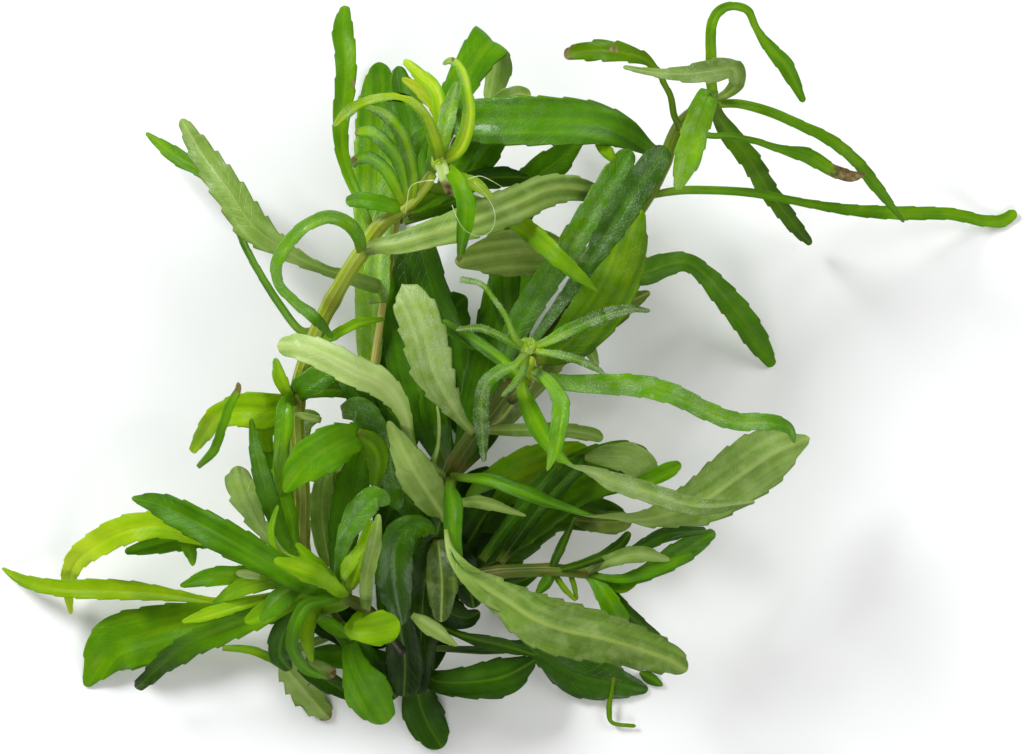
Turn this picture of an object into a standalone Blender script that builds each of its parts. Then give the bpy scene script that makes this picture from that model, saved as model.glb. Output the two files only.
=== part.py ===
"""Pogostemon quadrifolius, a cut bunch with no pot, lying on a surface at z = 0.

The bunch is seen from straight above. A route is a list of stops, each one
(pixel across, pixel down, height in mm, width in mm): the pixel is where the
stop shows in the photograph, 1024 x 754, and spot() turns it into metres.
"""
import math

import bmesh
import bpy
import numpy as np

# Real sizes, in metres
MM = 0.001
PIXEL = 0.22 * MM
VIEWER_HEIGHT = 1.0
MIDDLE_HEIGHT = 35 * MM
VIEW_CENTRE = (512, 377)
SHIFT = (0.6 * MM, 1.9 * MM)
LOWEST = 0.34 * MM
BLADE_THICKNESS = 0.5 * MM
SMALL_BLADE_THICKNESS = 0.45 * MM
NARROWEST = 0.5 * MM
FLAT_UNDER = 3.5 * MM
GAP = 0.3 * MM
STALK_REACH = 1.1 * MM

# How finely the pieces are faceted
BLADE_ROWS = 8
SMALL_BLADE_ROWS = 5
STEM_STEP = 12 * MM
CURVE_STEPS = 12
DENSE = 80

LOOKS = {
    "bright": ((0.25, 0.46, 0.02), 0.42),
    "mid": ((0.13, 0.30, 0.02), 0.40),
    "dark": ((0.04, 0.13, 0.01), 0.32),
    "pale": ((0.32, 0.45, 0.18), 0.60),
    "olive": ((0.17, 0.25, 0.03), 0.50),
    "yellow": ((0.42, 0.55, 0.03), 0.45),
    "stem": ((0.22, 0.26, 0.06), 0.45),
    "tan": ((0.30, 0.25, 0.10), 0.55),
}


def clear_scene():
    for thing in list(bpy.data.objects):
        bpy.data.objects.remove(thing, do_unlink=True)


def new_collection(name):
    collection = bpy.data.collections.new(name)
    bpy.context.scene.collection.children.link(collection)
    return collection


clear_scene()
parts = new_collection("pogostemon_quadrifolius")
cutters = new_collection("joined_in")
centre_lines = {}


def spot(px, py, height):
    """Where a point lies, in metres, that shows at a pixel and is height mm up."""
    scale = PIXEL * (VIEWER_HEIGHT - height * MM) / (VIEWER_HEIGHT - MIDDLE_HEIGHT)
    return [(px - VIEW_CENTRE[0]) * scale + SHIFT[0],
            (VIEW_CENTRE[1] - py) * scale + SHIFT[1], height * MM - LOWEST]


def smooth(stops):
    """A Catmull-Rom curve through the stops, whose first three numbers are a place."""
    stops = np.array(stops, float)
    padded = np.vstack([2 * stops[0] - stops[1], stops, 2 * stops[-1] - stops[-2]])
    rows = []
    for i in range(len(stops) - 1):
        a, b, c, d = padded[i:i + 4]
        for t in np.arange(CURVE_STEPS) / CURVE_STEPS:
            rows.append(0.5 * (2 * b + (c - a) * t + (2 * a - 5 * b + 4 * c - d) * t * t
                               + (3 * b - 3 * c + d - a) * t ** 3))
    rows.append(stops[-1])
    return np.array(rows)


def spread(rows, count):
    """The same curve read at count places an equal way apart."""
    steps = np.linalg.norm(np.diff(rows[:, :3], axis=0), axis=1)
    run = np.concatenate([[0], np.cumsum(steps)])
    where = np.linspace(0, run[-1], count)
    return np.column_stack([np.interp(where, run, rows[:, k]) for k in range(rows.shape[1])])


def read_route(route):
    """The route in metres: place and half width of each stop, made smooth."""
    stops = [spot(px, py, height) + [width * MM / 2] for px, py, height, width in route]
    rows = spread(smooth(stops), DENSE)
    rows[:, 3] = np.maximum(rows[:, 3], NARROWEST / 2)
    return rows


def finish(piece, look):
    """Gives a piece its own material."""
    colour, roughness = LOOKS[look]
    material = bpy.data.materials.new(piece.name)
    material.use_nodes = True
    shader = material.node_tree.nodes["Principled BSDF"]
    shader.inputs["Base Color"].default_value = (*colour, 1)
    shader.inputs["Roughness"].default_value = roughness
    shader.inputs["Metallic"].default_value = 0
    piece.data.materials.clear()
    piece.data.materials.append(material)


def stem(name, look, route):
    """A round tapered stem along a route, whose widths are its diameters."""
    rows = read_route(route)
    centre_lines[name] = rows
    length = np.linalg.norm(np.diff(rows[:, :3], axis=0), axis=1).sum()
    rows = spread(rows, max(4, math.ceil(length / STEM_STEP) + 1))
    curve = bpy.data.curves.new(name, "CURVE")
    curve.dimensions = "3D"
    curve.bevel_depth = MM
    curve.bevel_resolution = 2
    curve.use_fill_caps = True
    line = curve.splines.new("POLY")
    line.points.add(len(rows) - 1)
    for point, row in zip(line.points, rows):
        point.co = (*row[:3], 1)
        point.radius = row[3] / MM
    line.use_smooth = True
    piece = bpy.data.objects.new(name, curve)
    parts.objects.link(piece)
    finish(piece, look)
    return piece


def solid_stem(name, look, route):
    """A stem as a closed mesh, for joining with its small leaves."""
    tube = stem(name, look, route)
    bpy.context.view_layer.update()
    evaluated = tube.evaluated_get(bpy.context.evaluated_depsgraph_get())
    mesh = bpy.data.meshes.new_from_object(evaluated)
    mesh.transform(tube.matrix_world)
    bpy.data.objects.remove(tube, do_unlink=True)
    shape = bmesh.new()
    shape.from_mesh(mesh)
    bmesh.ops.remove_doubles(shape, verts=shape.verts, dist=0.001 * MM)
    shape.to_mesh(mesh)
    shape.free()
    piece = bpy.data.objects.new(name, mesh)
    parts.objects.link(piece)
    finish(piece, look)
    return piece


def bud(name, look, place, size):
    """A small egg-shaped growing tip, size mm across."""
    mesh = bpy.data.meshes.new(name)
    shape = bmesh.new()
    bmesh.ops.create_uvsphere(shape, u_segments=8, v_segments=6, radius=size * MM / 2)
    bmesh.ops.translate(shape, verts=shape.verts, vec=spot(*place))
    shape.to_mesh(mesh)
    shape.free()
    piece = bpy.data.objects.new(name, mesh)
    parts.objects.link(piece)
    finish(piece, look)
    return piece


def off_the_stem(rows, carrier):
    """Drops the start of a leaf that lies in its stem, so that a small gap is left."""
    line = centre_lines[carrier]
    apart = np.linalg.norm(rows[:, None, :3] - line[None, :, :3], axis=2)
    nearest = apart.argmin(axis=1)
    reach = np.minimum(rows[:, 3], STALK_REACH)
    clear = apart.min(axis=1) - line[nearest, 3] - reach - GAP - BLADE_THICKNESS / 2
    first = int(np.argmax(clear > 0))
    return rows[first:]


def blade(name, look, rows, turn, fold, facets, thickness, doubled=False):
    """A leaf: an open surface along its rows, folded at the midrib, with a thickness.

    turn is how far it is rolled about its own line, in degrees, from base to tip:
    0 shows the viewer its upper face, 180 its underside. A doubled leaf keeps its
    side where it bends straight down and back under itself.
    """
    rows = spread(rows, facets + 1)
    along = np.gradient(rows[:, :3], axis=0)
    along /= np.linalg.norm(along, axis=1)[:, None]
    turns = np.radians(np.interp(np.linspace(0, 1, facets + 1), np.linspace(0, 1, len(turn)), turn))
    frames = []
    last = None
    for line, angle in zip(along, turns):
        flat = np.cross(line, (0, 0, 1))
        if last is not None and (doubled or np.linalg.norm(flat) < 0.35):
            flat = last - line * np.dot(last, line)
        flat = flat / np.linalg.norm(flat)
        last = flat
        up = np.cross(flat, line)
        side = flat * math.cos(angle) + up * math.sin(angle)
        frames.append((side, np.cross(side, line)))
    mesh = bpy.data.meshes.new(name)
    shape = bmesh.new()
    halves = 1 if 2 * rows[:, 3].max() < FLAT_UNDER else 2
    bmesh.ops.create_grid(shape, x_segments=facets, y_segments=halves, size=1)
    for vertex in shape.verts:
        i = round((vertex.co.x + 1) / 2 * facets)
        across = -vertex.co.y
        side, face = frames[i]
        half = rows[i, 3]
        lift = abs(across) * half * math.tan(math.radians(fold)) * (halves - 1)
        vertex.co = rows[i, :3] + side * across * half + face * lift
    shape.to_mesh(mesh)
    shape.free()
    piece = bpy.data.objects.new(name, mesh)
    parts.objects.link(piece)
    finish(piece, look)
    wall = piece.modifiers.new("thickness", "SOLIDIFY")
    wall.thickness = thickness
    wall.offset = 0
    return piece


def leaf(name, carrier, look, route, turn=(0,), fold=14, facets=BLADE_ROWS, doubled=False):
    """A leaf of its own, a small gap off the stem that carries it."""
    rows = off_the_stem(read_route(route), carrier)
    return blade(name, look, rows, turn, fold, facets, BLADE_THICKNESS, doubled)


def small_leaf(name, look, route, turn=(0,), fold=14, facets=SMALL_BLADE_ROWS):
    """A small leaf that grows into the piece that it is joined with."""
    return blade(name, look, read_route(route), turn, fold, facets, SMALL_BLADE_THICKNESS)


def join(base, pieces):
    """Joins the pieces to the base in one solid."""
    for piece in pieces:
        union = base.modifiers.new("with " + piece.name, "BOOLEAN")
        union.operation = "UNION"
        union.object = piece
        parts.objects.unlink(piece)
        cutters.objects.link(piece)
        piece.hide_render = True
        piece.display_type = "WIRE"


def stems():
    """The stems that stand alone, and the two that their small leaves are joined to."""
    left = solid_stem("left_stem", "stem", [
        (398, 690, 5, 3.7), (340, 630, 14, 3.7), (305, 560, 22, 3.7), (302, 490, 30, 3.7),
        (297, 400, 37, 3.7), (318, 330, 42, 3.7), (345, 278, 45, 3.6), (362, 252, 46, 3.8),
        (380, 226, 48, 3.2), (408, 204, 50, 3.1), (425, 185, 52, 2.8), (432, 174, 53, 2.4)])
    join(left, [
        small_leaf("short_arch", "mid", [
            (323, 340, 42, 1.5), (333, 336, 46, 2.2), (345, 329, 48, 2.4), (360, 322, 48, 2.2),
            (385, 319, 44, 0.8)]),
        small_leaf("node_leaf", "bright", [
            (297, 398, 37, 1.5), (288, 394, 40, 2.4), (280, 378, 41, 3.3), (275, 358, 40, 1.2)]),
        small_leaf("node_leaf_dark", "dark", [
            (295, 400, 37, 2), (302, 389, 41, 5.5), (317, 379, 42, 6.5), (334, 368, 42, 4),
            (342, 361, 41, 1)]),
        small_leaf("hanging_gloss", "mid", [
            (297, 400, 38, 2), (286, 404, 43, 3.4), (284, 425, 44, 4.2), (281, 455, 42, 3.6),
            (282, 485, 37, 3.6), (288, 508, 31, 3), (292, 524, 28, 1)]),
        small_leaf("side_leaf_1", "mid", [
            (410, 203, 50.5, 1.8), (413, 185, 54, 2.4), (410, 160, 57, 3.2), (400, 132, 58, 3.4),
            (384, 114, 57, 2.6), (366, 107, 54, 1)]),
        small_leaf("side_leaf_2", "mid", [
            (407, 203, 50.5, 1.8), (406, 185, 54, 2.4), (398, 160, 56, 3.4), (385, 143, 56, 3.4),
            (370, 132, 54, 3), (355, 133, 51, 1.2)]),
        small_leaf("side_leaf_3", "mid", [
            (404, 204, 50.5, 1.8), (395, 186, 54, 2.6), (384, 168, 55, 3), (370, 158, 53, 2.8),
            (357, 160, 50, 2.4), (352, 166, 47, 1.4)]),
        small_leaf("side_leaf_4", "mid", [
            (405, 207, 50, 2), (392, 206, 52, 3.2), (375, 202, 52.5, 3.8), (358, 200, 51, 3.6),
            (346, 202, 49, 2)]),
        small_leaf("side_leaf_5", "mid", [
            (410, 200, 51, 1.6), (407, 175, 53, 2.8), (412, 152, 54, 3.4), (422, 134, 53, 2.6),
            (428, 126, 52, 0.9)]),
    ])
    stem("right_stem", "stem", [
        (418, 690, 8, 4.4), (421, 640, 13, 4.3), (425, 580, 18, 4.1), (450, 475, 26, 4),
        (508, 388, 32, 3.8), (580, 290, 36, 3.6), (650, 192, 38, 3.2), (680, 125, 40, 3),
        (716, 100, 44, 2.4)])
    stem("back_stem", "tan", [
        (410, 684, 12.5, 2), (398, 620, 13, 2), (380, 500, 14, 2), (372, 400, 15, 2),
        (379, 330, 16, 1.7), (388, 275, 16, 1.7), (398, 215, 15, 1.6)])


def rosette():
    """The short branch that points at the viewer, its bud and its narrow young leaves."""
    branch = solid_stem("rosette_stem", "stem", [
        (512, 400, 37, 2.4), (524, 388, 43, 2.4), (532, 374, 50, 2.2), (531, 360, 55, 2)])
    join(branch, [small_leaf("striped_leaf", "mid", [
        (528, 384, 45, 1.8), (512, 370, 46, 3), (495, 355, 45, 3.1), (470, 338, 42, 3.1),
        (443, 320, 36, 1)])])
    tip = bud("rosette", "bright", (528, 346, 60), 4.4)
    join(tip, [
        small_leaf("frosted_leaf_1", "pale", [
            (526, 352, 60, 1.6), (515, 365, 61, 1.8), (500, 371, 61, 2.9), (485, 385, 59, 3.3),
            (481, 405, 56, 3.5), (482, 430, 52, 3.3), (484, 462, 47, 1)]),
        small_leaf("frosted_leaf_2", "pale", [
            (527, 352, 59, 1.6), (524, 368, 58, 1.8), (516, 382, 56, 1.8), (502, 396, 53, 0.8)]),
        small_leaf("frosted_leaf_3", "pale", [
            (522, 345, 61, 1.6), (515, 338, 63, 1.4), (505, 315, 66, 1.3), (493, 298, 67, 1.3),
            (481, 284, 67, 1.3), (460, 279, 64, 1.6)]),
        small_leaf("frosted_leaf_4", "pale", [
            (523, 347, 60, 1.6), (512, 343, 62, 1.8), (498, 335, 64, 1.8), (478, 328, 64, 1.8),
            (456, 330, 61, 0.8)]),
        small_leaf("frosted_leaf_5", "mid", [
            (533, 347, 60, 1.6), (548, 341, 62, 2), (565, 332, 62, 2.9), (590, 321, 61, 3.3),
            (612, 313, 60, 3.1), (632, 309, 57, 1.8), (650, 311, 54, 0.9)]),
        small_leaf("frosted_leaf_6", "pale", [
            (533, 350, 60, 1.4), (548, 353, 62, 1.6), (566, 356, 63, 2), (592, 366, 63, 1.8),
            (605, 375, 62, 0.7)]),
    ])


def left_crown():
    """The bud at the top of the left stem with its young leaves."""
    crown = bud("left_crown", "yellow", (441, 161, 56), 5)
    join(crown, [
        small_leaf("yellow_hook", "yellow", [
            (440, 160, 57, 2.6), (434, 138, 62, 3.1), (424, 115, 67, 2.6), (408, 100, 69, 2.2),
            (388, 97, 69, 2), (365, 102, 68, 2.2), (348, 112, 65, 2.6), (334, 126, 61, 0.9)],
            fold=30, facets=9),
        small_leaf("yellow_upright", "yellow", [
            (444, 160, 57, 2.6), (456, 152, 60, 3), (464, 138, 63, 3.3), (469, 115, 66, 3.1),
            (467, 92, 67, 2.6), (462, 72, 64, 2.2), (452, 61, 60, 1.8), (443, 64, 56, 0.7)],
            fold=24, facets=9),
        small_leaf("inner_leaf", "pale", [
            (442, 158, 56, 1.8), (443, 138, 58, 3.5), (449, 110, 57, 4), (457, 82, 53, 1.3)]),
        small_leaf("brown_ended_leaf", "olive", [
            (440, 162, 57, 2.6), (446, 178, 60, 3), (454, 195, 59, 3.6)]),
        small_leaf("hanging_leaf", "mid", [
            (444, 163, 56, 2), (458, 182, 63, 3.6), (466, 205, 65, 4.4), (464, 230, 64, 3.5),
            (459, 262, 61, 0.9)]),
        small_leaf("striped_yellow_leaf", "yellow", [
            (444, 164, 55, 1.8), (458, 178, 57, 3), (475, 184, 57, 3.2), (494, 199, 54, 1)]),
        small_leaf("pale_top_leaf", "yellow", [
            (441, 158, 54, 1.8), (443, 130, 51, 3), (436, 92, 47, 3.5), (420, 75, 45, 3.1),
            (404, 60, 43, 1.5)]),
    ])


def top_left_leaves():
    leaf("tall_leaf", "left_stem", "bright", [
        (374, 236, 47, 1.5), (362, 205, 43, 2), (350, 178, 41, 2.6), (342, 150, 41, 3.3),
        (341, 120, 43, 4), (345, 90, 45, 4.8), (346, 60, 45, 5), (343, 30, 43, 4.9),
        (345, 6, 39, 2)])
    leaf("slim_far_leaf", "left_stem", "mid", [
        (318, 330, 42, 1.8), (300, 330, 38, 1.8), (280, 305, 33, 1.8), (262, 277, 28, 1.8),
        (247, 250, 24, 1.8), (235, 222, 22, 1.8), (222, 197, 20, 2.2), (205, 174, 18, 3.1),
        (175, 155, 14, 4), (146, 133, 8, 0.9)])
    leaf("broad_far_leaf", "back_stem", "pale", [
        (390, 290, 16, 2.5), (370, 284, 24, 3.4), (345, 276, 30, 3), (325, 270, 33, 2.6),
        (300, 259, 35, 3.7), (280, 247, 36, 5.3), (252, 225, 37, 8.2), (230, 193, 36, 7.8),
        (203, 155, 32, 6.6), (181, 119, 26, 2.4)], turn=(180,))
    leaf("loop_leaf", "left_stem", "dark", [
        (362, 252, 47, 2.2), (358, 236, 54, 2.9), (347, 223, 57, 3.1), (329, 217, 59, 3.1),
        (307, 225, 60, 3), (289, 242, 59, 3.2), (277, 263, 58, 2.9), (279, 284, 56, 2.4),
        (295, 302, 55, 2.4), (315, 318, 53, 2.9), (333, 338, 48, 1)], facets=14)
    leaf("crossing_leaf", "left_stem", "pale", [
        (362, 252, 47, 2.5), (378, 246, 52, 3.5), (400, 243, 54, 4.8), (440, 231, 55, 6.6),
        (480, 218, 55, 8.4), (520, 202, 52, 8.4), (550, 190, 47, 7.5), (580, 189, 41, 5.7),
        (614, 200, 35, 1.8)], turn=(180,))
    leaf("broad_back_leaf", "back_stem", "mid", [
        (374, 372, 15, 3), (370, 355, 10, 5.5), (371, 300, 8, 7.5), (373, 250, 5, 9),
        (376, 200, 3, 10.4), (378, 150, 1.5, 11.2), (380, 100, 0.8, 10.2), (379, 62, 3, 4)], fold=5)
    leaf("narrow_back_leaf", "back_stem", "dark", [
        (398, 222, 15, 2), (420, 180, 13, 4.4), (412, 140, 12, 8), (405, 100, 11, 7.4),
        (398, 66, 10, 2.5)], fold=8)
    leaf("folded_leaf", "left_stem", "bright", [
        (428, 180, 51, 2), (437, 150, 44, 4), (446, 120, 37, 6.5), (458, 90, 35, 7.5),
        (474, 62, 33, 8.5), (489, 43, 30.5, 10), (494, 43, 27.5, 10), (497, 58, 25, 9.5),
        (494, 80, 23, 8), (488, 104, 20, 4)],
        fold=6, facets=22, doubled=True)
    leaf("glossy_cross_leaf", "right_stem", "dark", [
        (668, 156, 38, 1.6), (650, 149, 37, 3), (622, 132, 42, 7.2), (590, 123, 45, 10),
        (540, 121, 46, 11.2), (500, 121, 45, 11), (472, 122, 43, 9.5), (450, 127, 41, 4)], fold=10)
    leaf("yellow_tip_leaf", "left_stem", "yellow", [
        (425, 185, 52, 2), (462, 196, 48, 2.2), (500, 212, 45, 3.1), (530, 232, 48, 4.8),
        (555, 255, 54, 4.4), (578, 275, 54, 3.1), (597, 291, 53, 0.6)])
    leaf("olive_leaf", "right_stem", "olive", [
        (600, 264, 36, 2), (585, 258, 31, 5), (565, 255, 30, 6.6), (540, 252, 30, 10.4),
        (500, 254, 32, 10.4), (455, 262, 34, 2.5)], turn=(180,), fold=8)
    leaf("upper_back_leaf", "right_stem", "dark", [
        (530, 358, 32, 2), (512, 330, 27, 4), (505, 290, 25, 7), (508, 240, 24, 7.5),
        (530, 185, 24, 7.9), (558, 160, 25, 7), (582, 138, 27, 2)], fold=8)


def top_right_leaves():
    leaf("over_stem_leaf", "right_stem", "bright", [
        (712, 104, 46, 2.2), (709, 95, 53, 4.4), (703, 108, 54, 6), (695, 131, 51, 6.3),
        (687, 159, 49, 6.3), (677, 190, 46, 1.8)])
    leaf("left_reaching_leaf", "right_stem", "olive", [
        (680, 128, 41, 1.5), (674, 115, 46, 1.5), (671, 98, 50, 1.5), (665, 85, 53, 1.5),
        (655, 68, 55, 1.8), (640, 57, 57, 3.4), (610, 51, 57, 5.2), (590, 51, 55, 4.8),
        (564, 54, 52, 2.6)], facets=12)
    leaf("hooked_leaf", "right_stem", "pale", [
        (719, 98, 45, 1.6), (729, 92, 50, 2.4), (737, 82, 55, 3.6), (733, 69, 59, 4.8),
        (712, 71, 62, 5.6), (688, 74, 63, 4.2), (658, 73, 63, 2.2), (623, 67, 61, 1)],
        facets=12)
    leaf("tall_arch_leaf", "right_stem", "mid", [
        (714, 100, 44, 2.2), (711, 80, 44.5, 2.4), (711, 55, 49, 2.4), (711, 30, 52, 2.4),
        (717, 13, 52, 2.4), (732, 6, 51, 2), (748, 11, 50, 2), (757, 30, 48, 1.8),
        (770, 48, 46, 3.1), (786, 67, 44, 3.9), (804, 102, 40, 1.4)], facets=16)
    leaf("upper_drooping_leaf", "right_stem", "mid", [
        (717, 104, 43, 1.8), (740, 104, 47, 2), (770, 112, 49, 2.2), (800, 125, 47, 2.4),
        (830, 140, 43, 2.9), (855, 160, 36, 2.9), (875, 185, 29, 3), (904, 222, 18, 0.8)])
    leaf("dark_drooping_leaf", "right_stem", "dark", [
        (714, 102, 43, 2), (719, 118, 38, 3.2), (730, 135, 33, 4.6), (750, 160, 27, 5.2),
        (766, 187, 20, 4.8), (782, 209, 15, 4.4), (798, 230, 9, 3.4), (811, 244, 4, 1.6)])
    leaf("brown_tipped_leaf", "right_stem", "olive", [
        (682, 124, 41, 1.4), (707, 135, 43, 1.4), (730, 136, 43, 1.4), (755, 141, 42, 1.6),
        (780, 149, 41, 2), (808, 156, 40, 3.8), (830, 169, 38, 3.1), (850, 176, 36, 2.8),
        (866, 174, 35, 0.6)])
    leaf("longest_leaf", "right_stem", "mid", [
        (650, 196, 38, 1.4), (668, 192, 37, 1.8), (690, 190, 36, 1.9), (730, 191, 33, 1.9),
        (760, 194, 30, 2.1), (800, 202, 26, 2), (850, 210, 19, 2.8), (900, 213, 12, 3.4),
        (950, 214, 6, 3), (985, 221, 2, 2.9), (1004, 220, 0.8, 3.2), (1016, 211, 1.4, 2.4)],
        facets=12)
    leaf("right_arching_leaf", "right_stem", "dark", [
        (600, 264, 34, 2), (622, 272, 30, 5), (645, 272, 27, 6), (665, 265, 25, 5.5),
        (685, 262, 23, 4.6), (701, 271, 20, 4.6), (718, 289, 16, 5.8), (740, 315, 11, 6.4),
        (758, 342, 6, 5.6), (773, 366, 0.9, 2.2)], facets=12)
    leaf("long_dark_leaf", "right_stem", "dark", [
        (510, 384, 33, 2), (505, 362, 36, 3.5), (514, 335, 38, 5.5), (532, 302, 39.5, 6.5),
        (555, 268, 41, 6.5), (576, 237, 42, 6.5), (596, 206, 42, 6.4), (613, 179, 42, 6.4),
        (631, 150, 42, 4.4)])
    leaf("front_dark_leaf", "right_stem", "dark", [
        (518, 376, 34, 1.8), (524, 360, 40, 1.8), (533, 342, 43, 1.8), (550, 318, 46, 2.6),
        (570, 290, 48, 3.3), (590, 262, 49, 4.4), (613, 225, 49, 6.8), (635, 190, 49, 7.4),
        (655, 162, 48, 6.4), (666, 147, 47, 4)])
    leaf("right_back_leaf", "right_stem", "olive", [
        (532, 357, 34, 2), (548, 355, 38, 5), (575, 337, 41, 10), (603, 300, 42, 12.5),
        (621, 262, 42, 11), (631, 232, 42, 8), (640, 208, 42, 2.5)], fold=8)
    leaf("right_back_leaf_low", "right_stem", "olive", [
        (480, 430, 28, 3), (500, 420, 20, 5), (520, 395, 16, 7), (560, 345, 14, 8.8),
        (610, 312, 13, 8), (650, 292, 12, 1.3)], turn=(180,), fold=8)


def centre_leaves():
    leaf("half_turned_leaf", "rosette_stem", "pale", [
        (530, 378, 48, 2), (522, 386, 51, 2.4), (530, 410, 52, 4), (545, 440, 53, 4.4),
        (565, 462, 54, 4.2), (600, 477, 54, 4.4), (650, 493, 53, 4.8), (700, 507, 50, 4),
        (755, 502, 45, 0.9)], turn=(0, 0, 60, 170, 180, 180, 180), facets=12)
    leaf("hanging_bright_leaf", "rosette_stem", "bright", [
        (533, 370, 53, 2), (545, 378, 58, 2.4), (555, 390, 62, 3.2), (561, 404, 65, 4),
        (559, 425, 67, 4), (555, 448, 67, 3.1), (547, 471, 65, 0.6)])
    leaf("dark_right_leaf", "rosette_stem", "dark", [
        (533, 372, 52, 2.4), (546, 379, 55, 3), (570, 383, 56, 3.6), (600, 384, 57, 4.4),
        (640, 386, 57, 5.2), (675, 395, 56, 4.8), (705, 410, 53, 4.4), (735, 421, 50, 4.3),
        (770, 422, 47, 3.8), (788, 428, 45, 2.6), (795, 443, 43, 0.8)], facets=12)
    leaf("bent_pale_leaf", "right_stem", "pale", [
        (448, 478, 26, 1.8), (440, 473, 29, 1.8), (426, 462, 31, 1.8), (412, 445, 34, 2),
        (405, 418, 42, 3.5), (395, 398, 48, 5.6), (378, 382, 53, 7), (352, 370, 56, 7.2),
        (325, 356, 57, 7), (300, 347, 56, 6.2), (277, 346, 53, 4)], turn=(180,), facets=12)
    leaf("upright_silvery_leaf", "right_stem", "pale", [
        (476, 436, 29, 2), (460, 418, 38, 2.8), (445, 395, 43, 7), (433, 370, 45, 10),
        (424, 335, 47, 10.6), (413, 305, 48, 9.5), (402, 284, 47, 4)])
    leaf("bright_ribbed_leaf", "right_stem", "pale", [
        (436, 530, 22, 3), (443, 518, 27, 4.5), (433, 500, 32, 7.8), (418, 477, 38, 9),
        (403, 450, 41, 6), (388, 421, 42, 1.2)], turn=(180,))
    leaf("big_pale_leaf", "right_stem", "pale", [
        (451, 478, 28, 2.2), (450, 488, 38, 2.4), (453, 505, 44, 4.4), (453, 535, 47, 4.2),
        (460, 567, 51, 4.6), (485, 587, 52, 7), (507, 601, 52, 8.8), (535, 619, 52, 12), (565, 630, 50, 13),
        (606, 639, 47, 11.8), (642, 650, 43, 10), (670, 660, 40, 7.8), (687, 671, 37, 3.6)],
        turn=(0, 0, 0, 60, 170, 180, 180, 180, 180, 180), facets=14)
    leaf("broad_tipped_leaf", "right_stem", "pale", [
        (450, 476, 27, 1.8), (468, 478, 33, 2), (490, 480, 38, 2.9), (520, 491, 41, 3.7),
        (560, 507, 43, 4.4), (600, 517, 43, 4.6), (650, 518, 41, 6.4), (700, 502, 38, 11),
        (740, 475, 35, 13.8), (775, 452, 31, 12.4), (810, 438, 26, 1.6)],
        turn=(0, 0, 60, 125, 180, 180, 180), facets=14)
    leaf("olive_right_leaf", "right_stem", "olive", [
        (426, 570, 18, 3), (450, 566, 14, 3), (475, 558, 13, 5.5), (515, 523, 16, 12),
        (565, 485, 19, 12.5), (613, 467, 20, 12), (640, 465, 19.5, 9.5), (652, 466, 19, 4.5)],
        fold=8)
    leaf("dark_right_back_leaf", "right_stem", "dark", [
        (423, 602, 16, 2), (445, 598, 9, 3), (482, 570, 6, 7.5), (512, 544, 6, 10),
        (552, 512, 7, 10), (600, 514, 8, 8), (630, 523, 8.5, 3)], fold=8)
    leaf("middle_back_leaf", "right_stem", "dark", [
        (455, 466, 26, 3), (468, 440, 18, 6), (480, 400, 13, 10), (492, 350, 11, 10.5),
        (503, 305, 11, 8), (500, 275, 12, 2)], fold=8)
    leaf("inner_hanging_leaf", "right_stem", "dark", [
        (432, 542, 22, 2.5), (425, 528, 28, 4), (408, 530, 32, 7), (396, 548, 32, 8.4),
        (395, 585, 29, 8.6), (402, 625, 24, 3)])


def left_leaves():
    leaf("yellow_green_arch", "left_stem", "yellow", [
        (297, 402, 36, 2.5), (284, 405, 36, 5), (265, 411, 38, 8.2), (240, 410, 37, 7.6),
        (217, 417, 32, 5.4), (204, 433, 26, 4.2), (192, 452, 19, 1.8)])
    leaf("flat_bright_leaf", "back_stem", "bright", [
        (374, 425, 15, 2), (370, 430, 25, 3), (360, 434, 35, 5.5), (335, 445, 44, 9.8),
        (305, 465, 48, 9), (284, 492, 46, 1.4)], fold=8)
    leaf("slim_dark_leaf", "left_stem", "dark", [
        (305, 560, 23, 2.4), (296, 552, 27, 2.6), (283, 536, 33, 3.1), (268, 495, 41, 4.8),
        (257, 455, 46, 3.5), (251, 418, 48, 0.9)])
    leaf("speckled_leaf", "left_stem", "pale", [
        (304, 562, 21, 2.4), (288, 552, 19, 2.4), (264, 532, 20, 4), (249, 506, 21, 6.6),
        (240, 484, 21, 7.6), (236, 466, 21, 4.4)], turn=(180,))
    leaf("upper_left_reach", "low_left_shoot", "mid", [
        (335, 590, 33, 3), (318, 590, 39, 3.4), (300, 581, 43, 4.8), (270, 563, 45, 6.6),
        (235, 543, 46, 7.9), (195, 522, 44, 7.4), (160, 505, 40, 5.6), (132, 498, 34, 0.9)])
    leaf("bright_arch", "low_left_shoot", "yellow", [
        (306, 566, 38, 2), (296, 562, 34, 2.4), (250, 550, 30, 4), (200, 535, 28, 5),
        (160, 525, 27, 6.4), (125, 530, 25, 7), (95, 545, 20, 6.4), (75, 562, 13, 5.2),
        (68, 585, 6, 3.3), (71, 614, 2, 0.9)])
    leaf("far_left_reach", "low_left_shoot", "mid", [
        (322, 582, 35, 1.6), (308, 588, 27, 1.8), (260, 598, 21, 1.8), (216, 601, 18, 1.8),
        (180, 596, 16, 2.8), (140, 591, 14, 4.4), (100, 589, 12.5, 5), (60, 588, 10.5, 4.2),
        (25, 581, 5, 3), (2, 568, 0.8, 0.7)], facets=12)
    leaf("broad_low_leaf", "low_left_shoot", "mid", [
        (350, 600, 29, 2.4), (338, 606, 24, 2.6), (315, 609, 19, 3), (260, 615, 13, 5.5),
        (200, 622, 10, 9.9), (150, 635, 8, 13.6), (112, 648, 5, 12.6), (85, 686, 0.8, 1.8)],
        fold=8)
    leaf("twisted_leaf", "low_left_shoot", "dark", [
        (326, 584, 35, 2), (314, 592, 32, 2.6), (298, 599, 30, 3.3), (250, 620, 26, 6),
        (205, 637, 22, 7), (172, 656, 18, 6.6), (136, 688, 11, 2.6)],
        turn=(0, 0, 10, 20, 30, 10))


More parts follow.
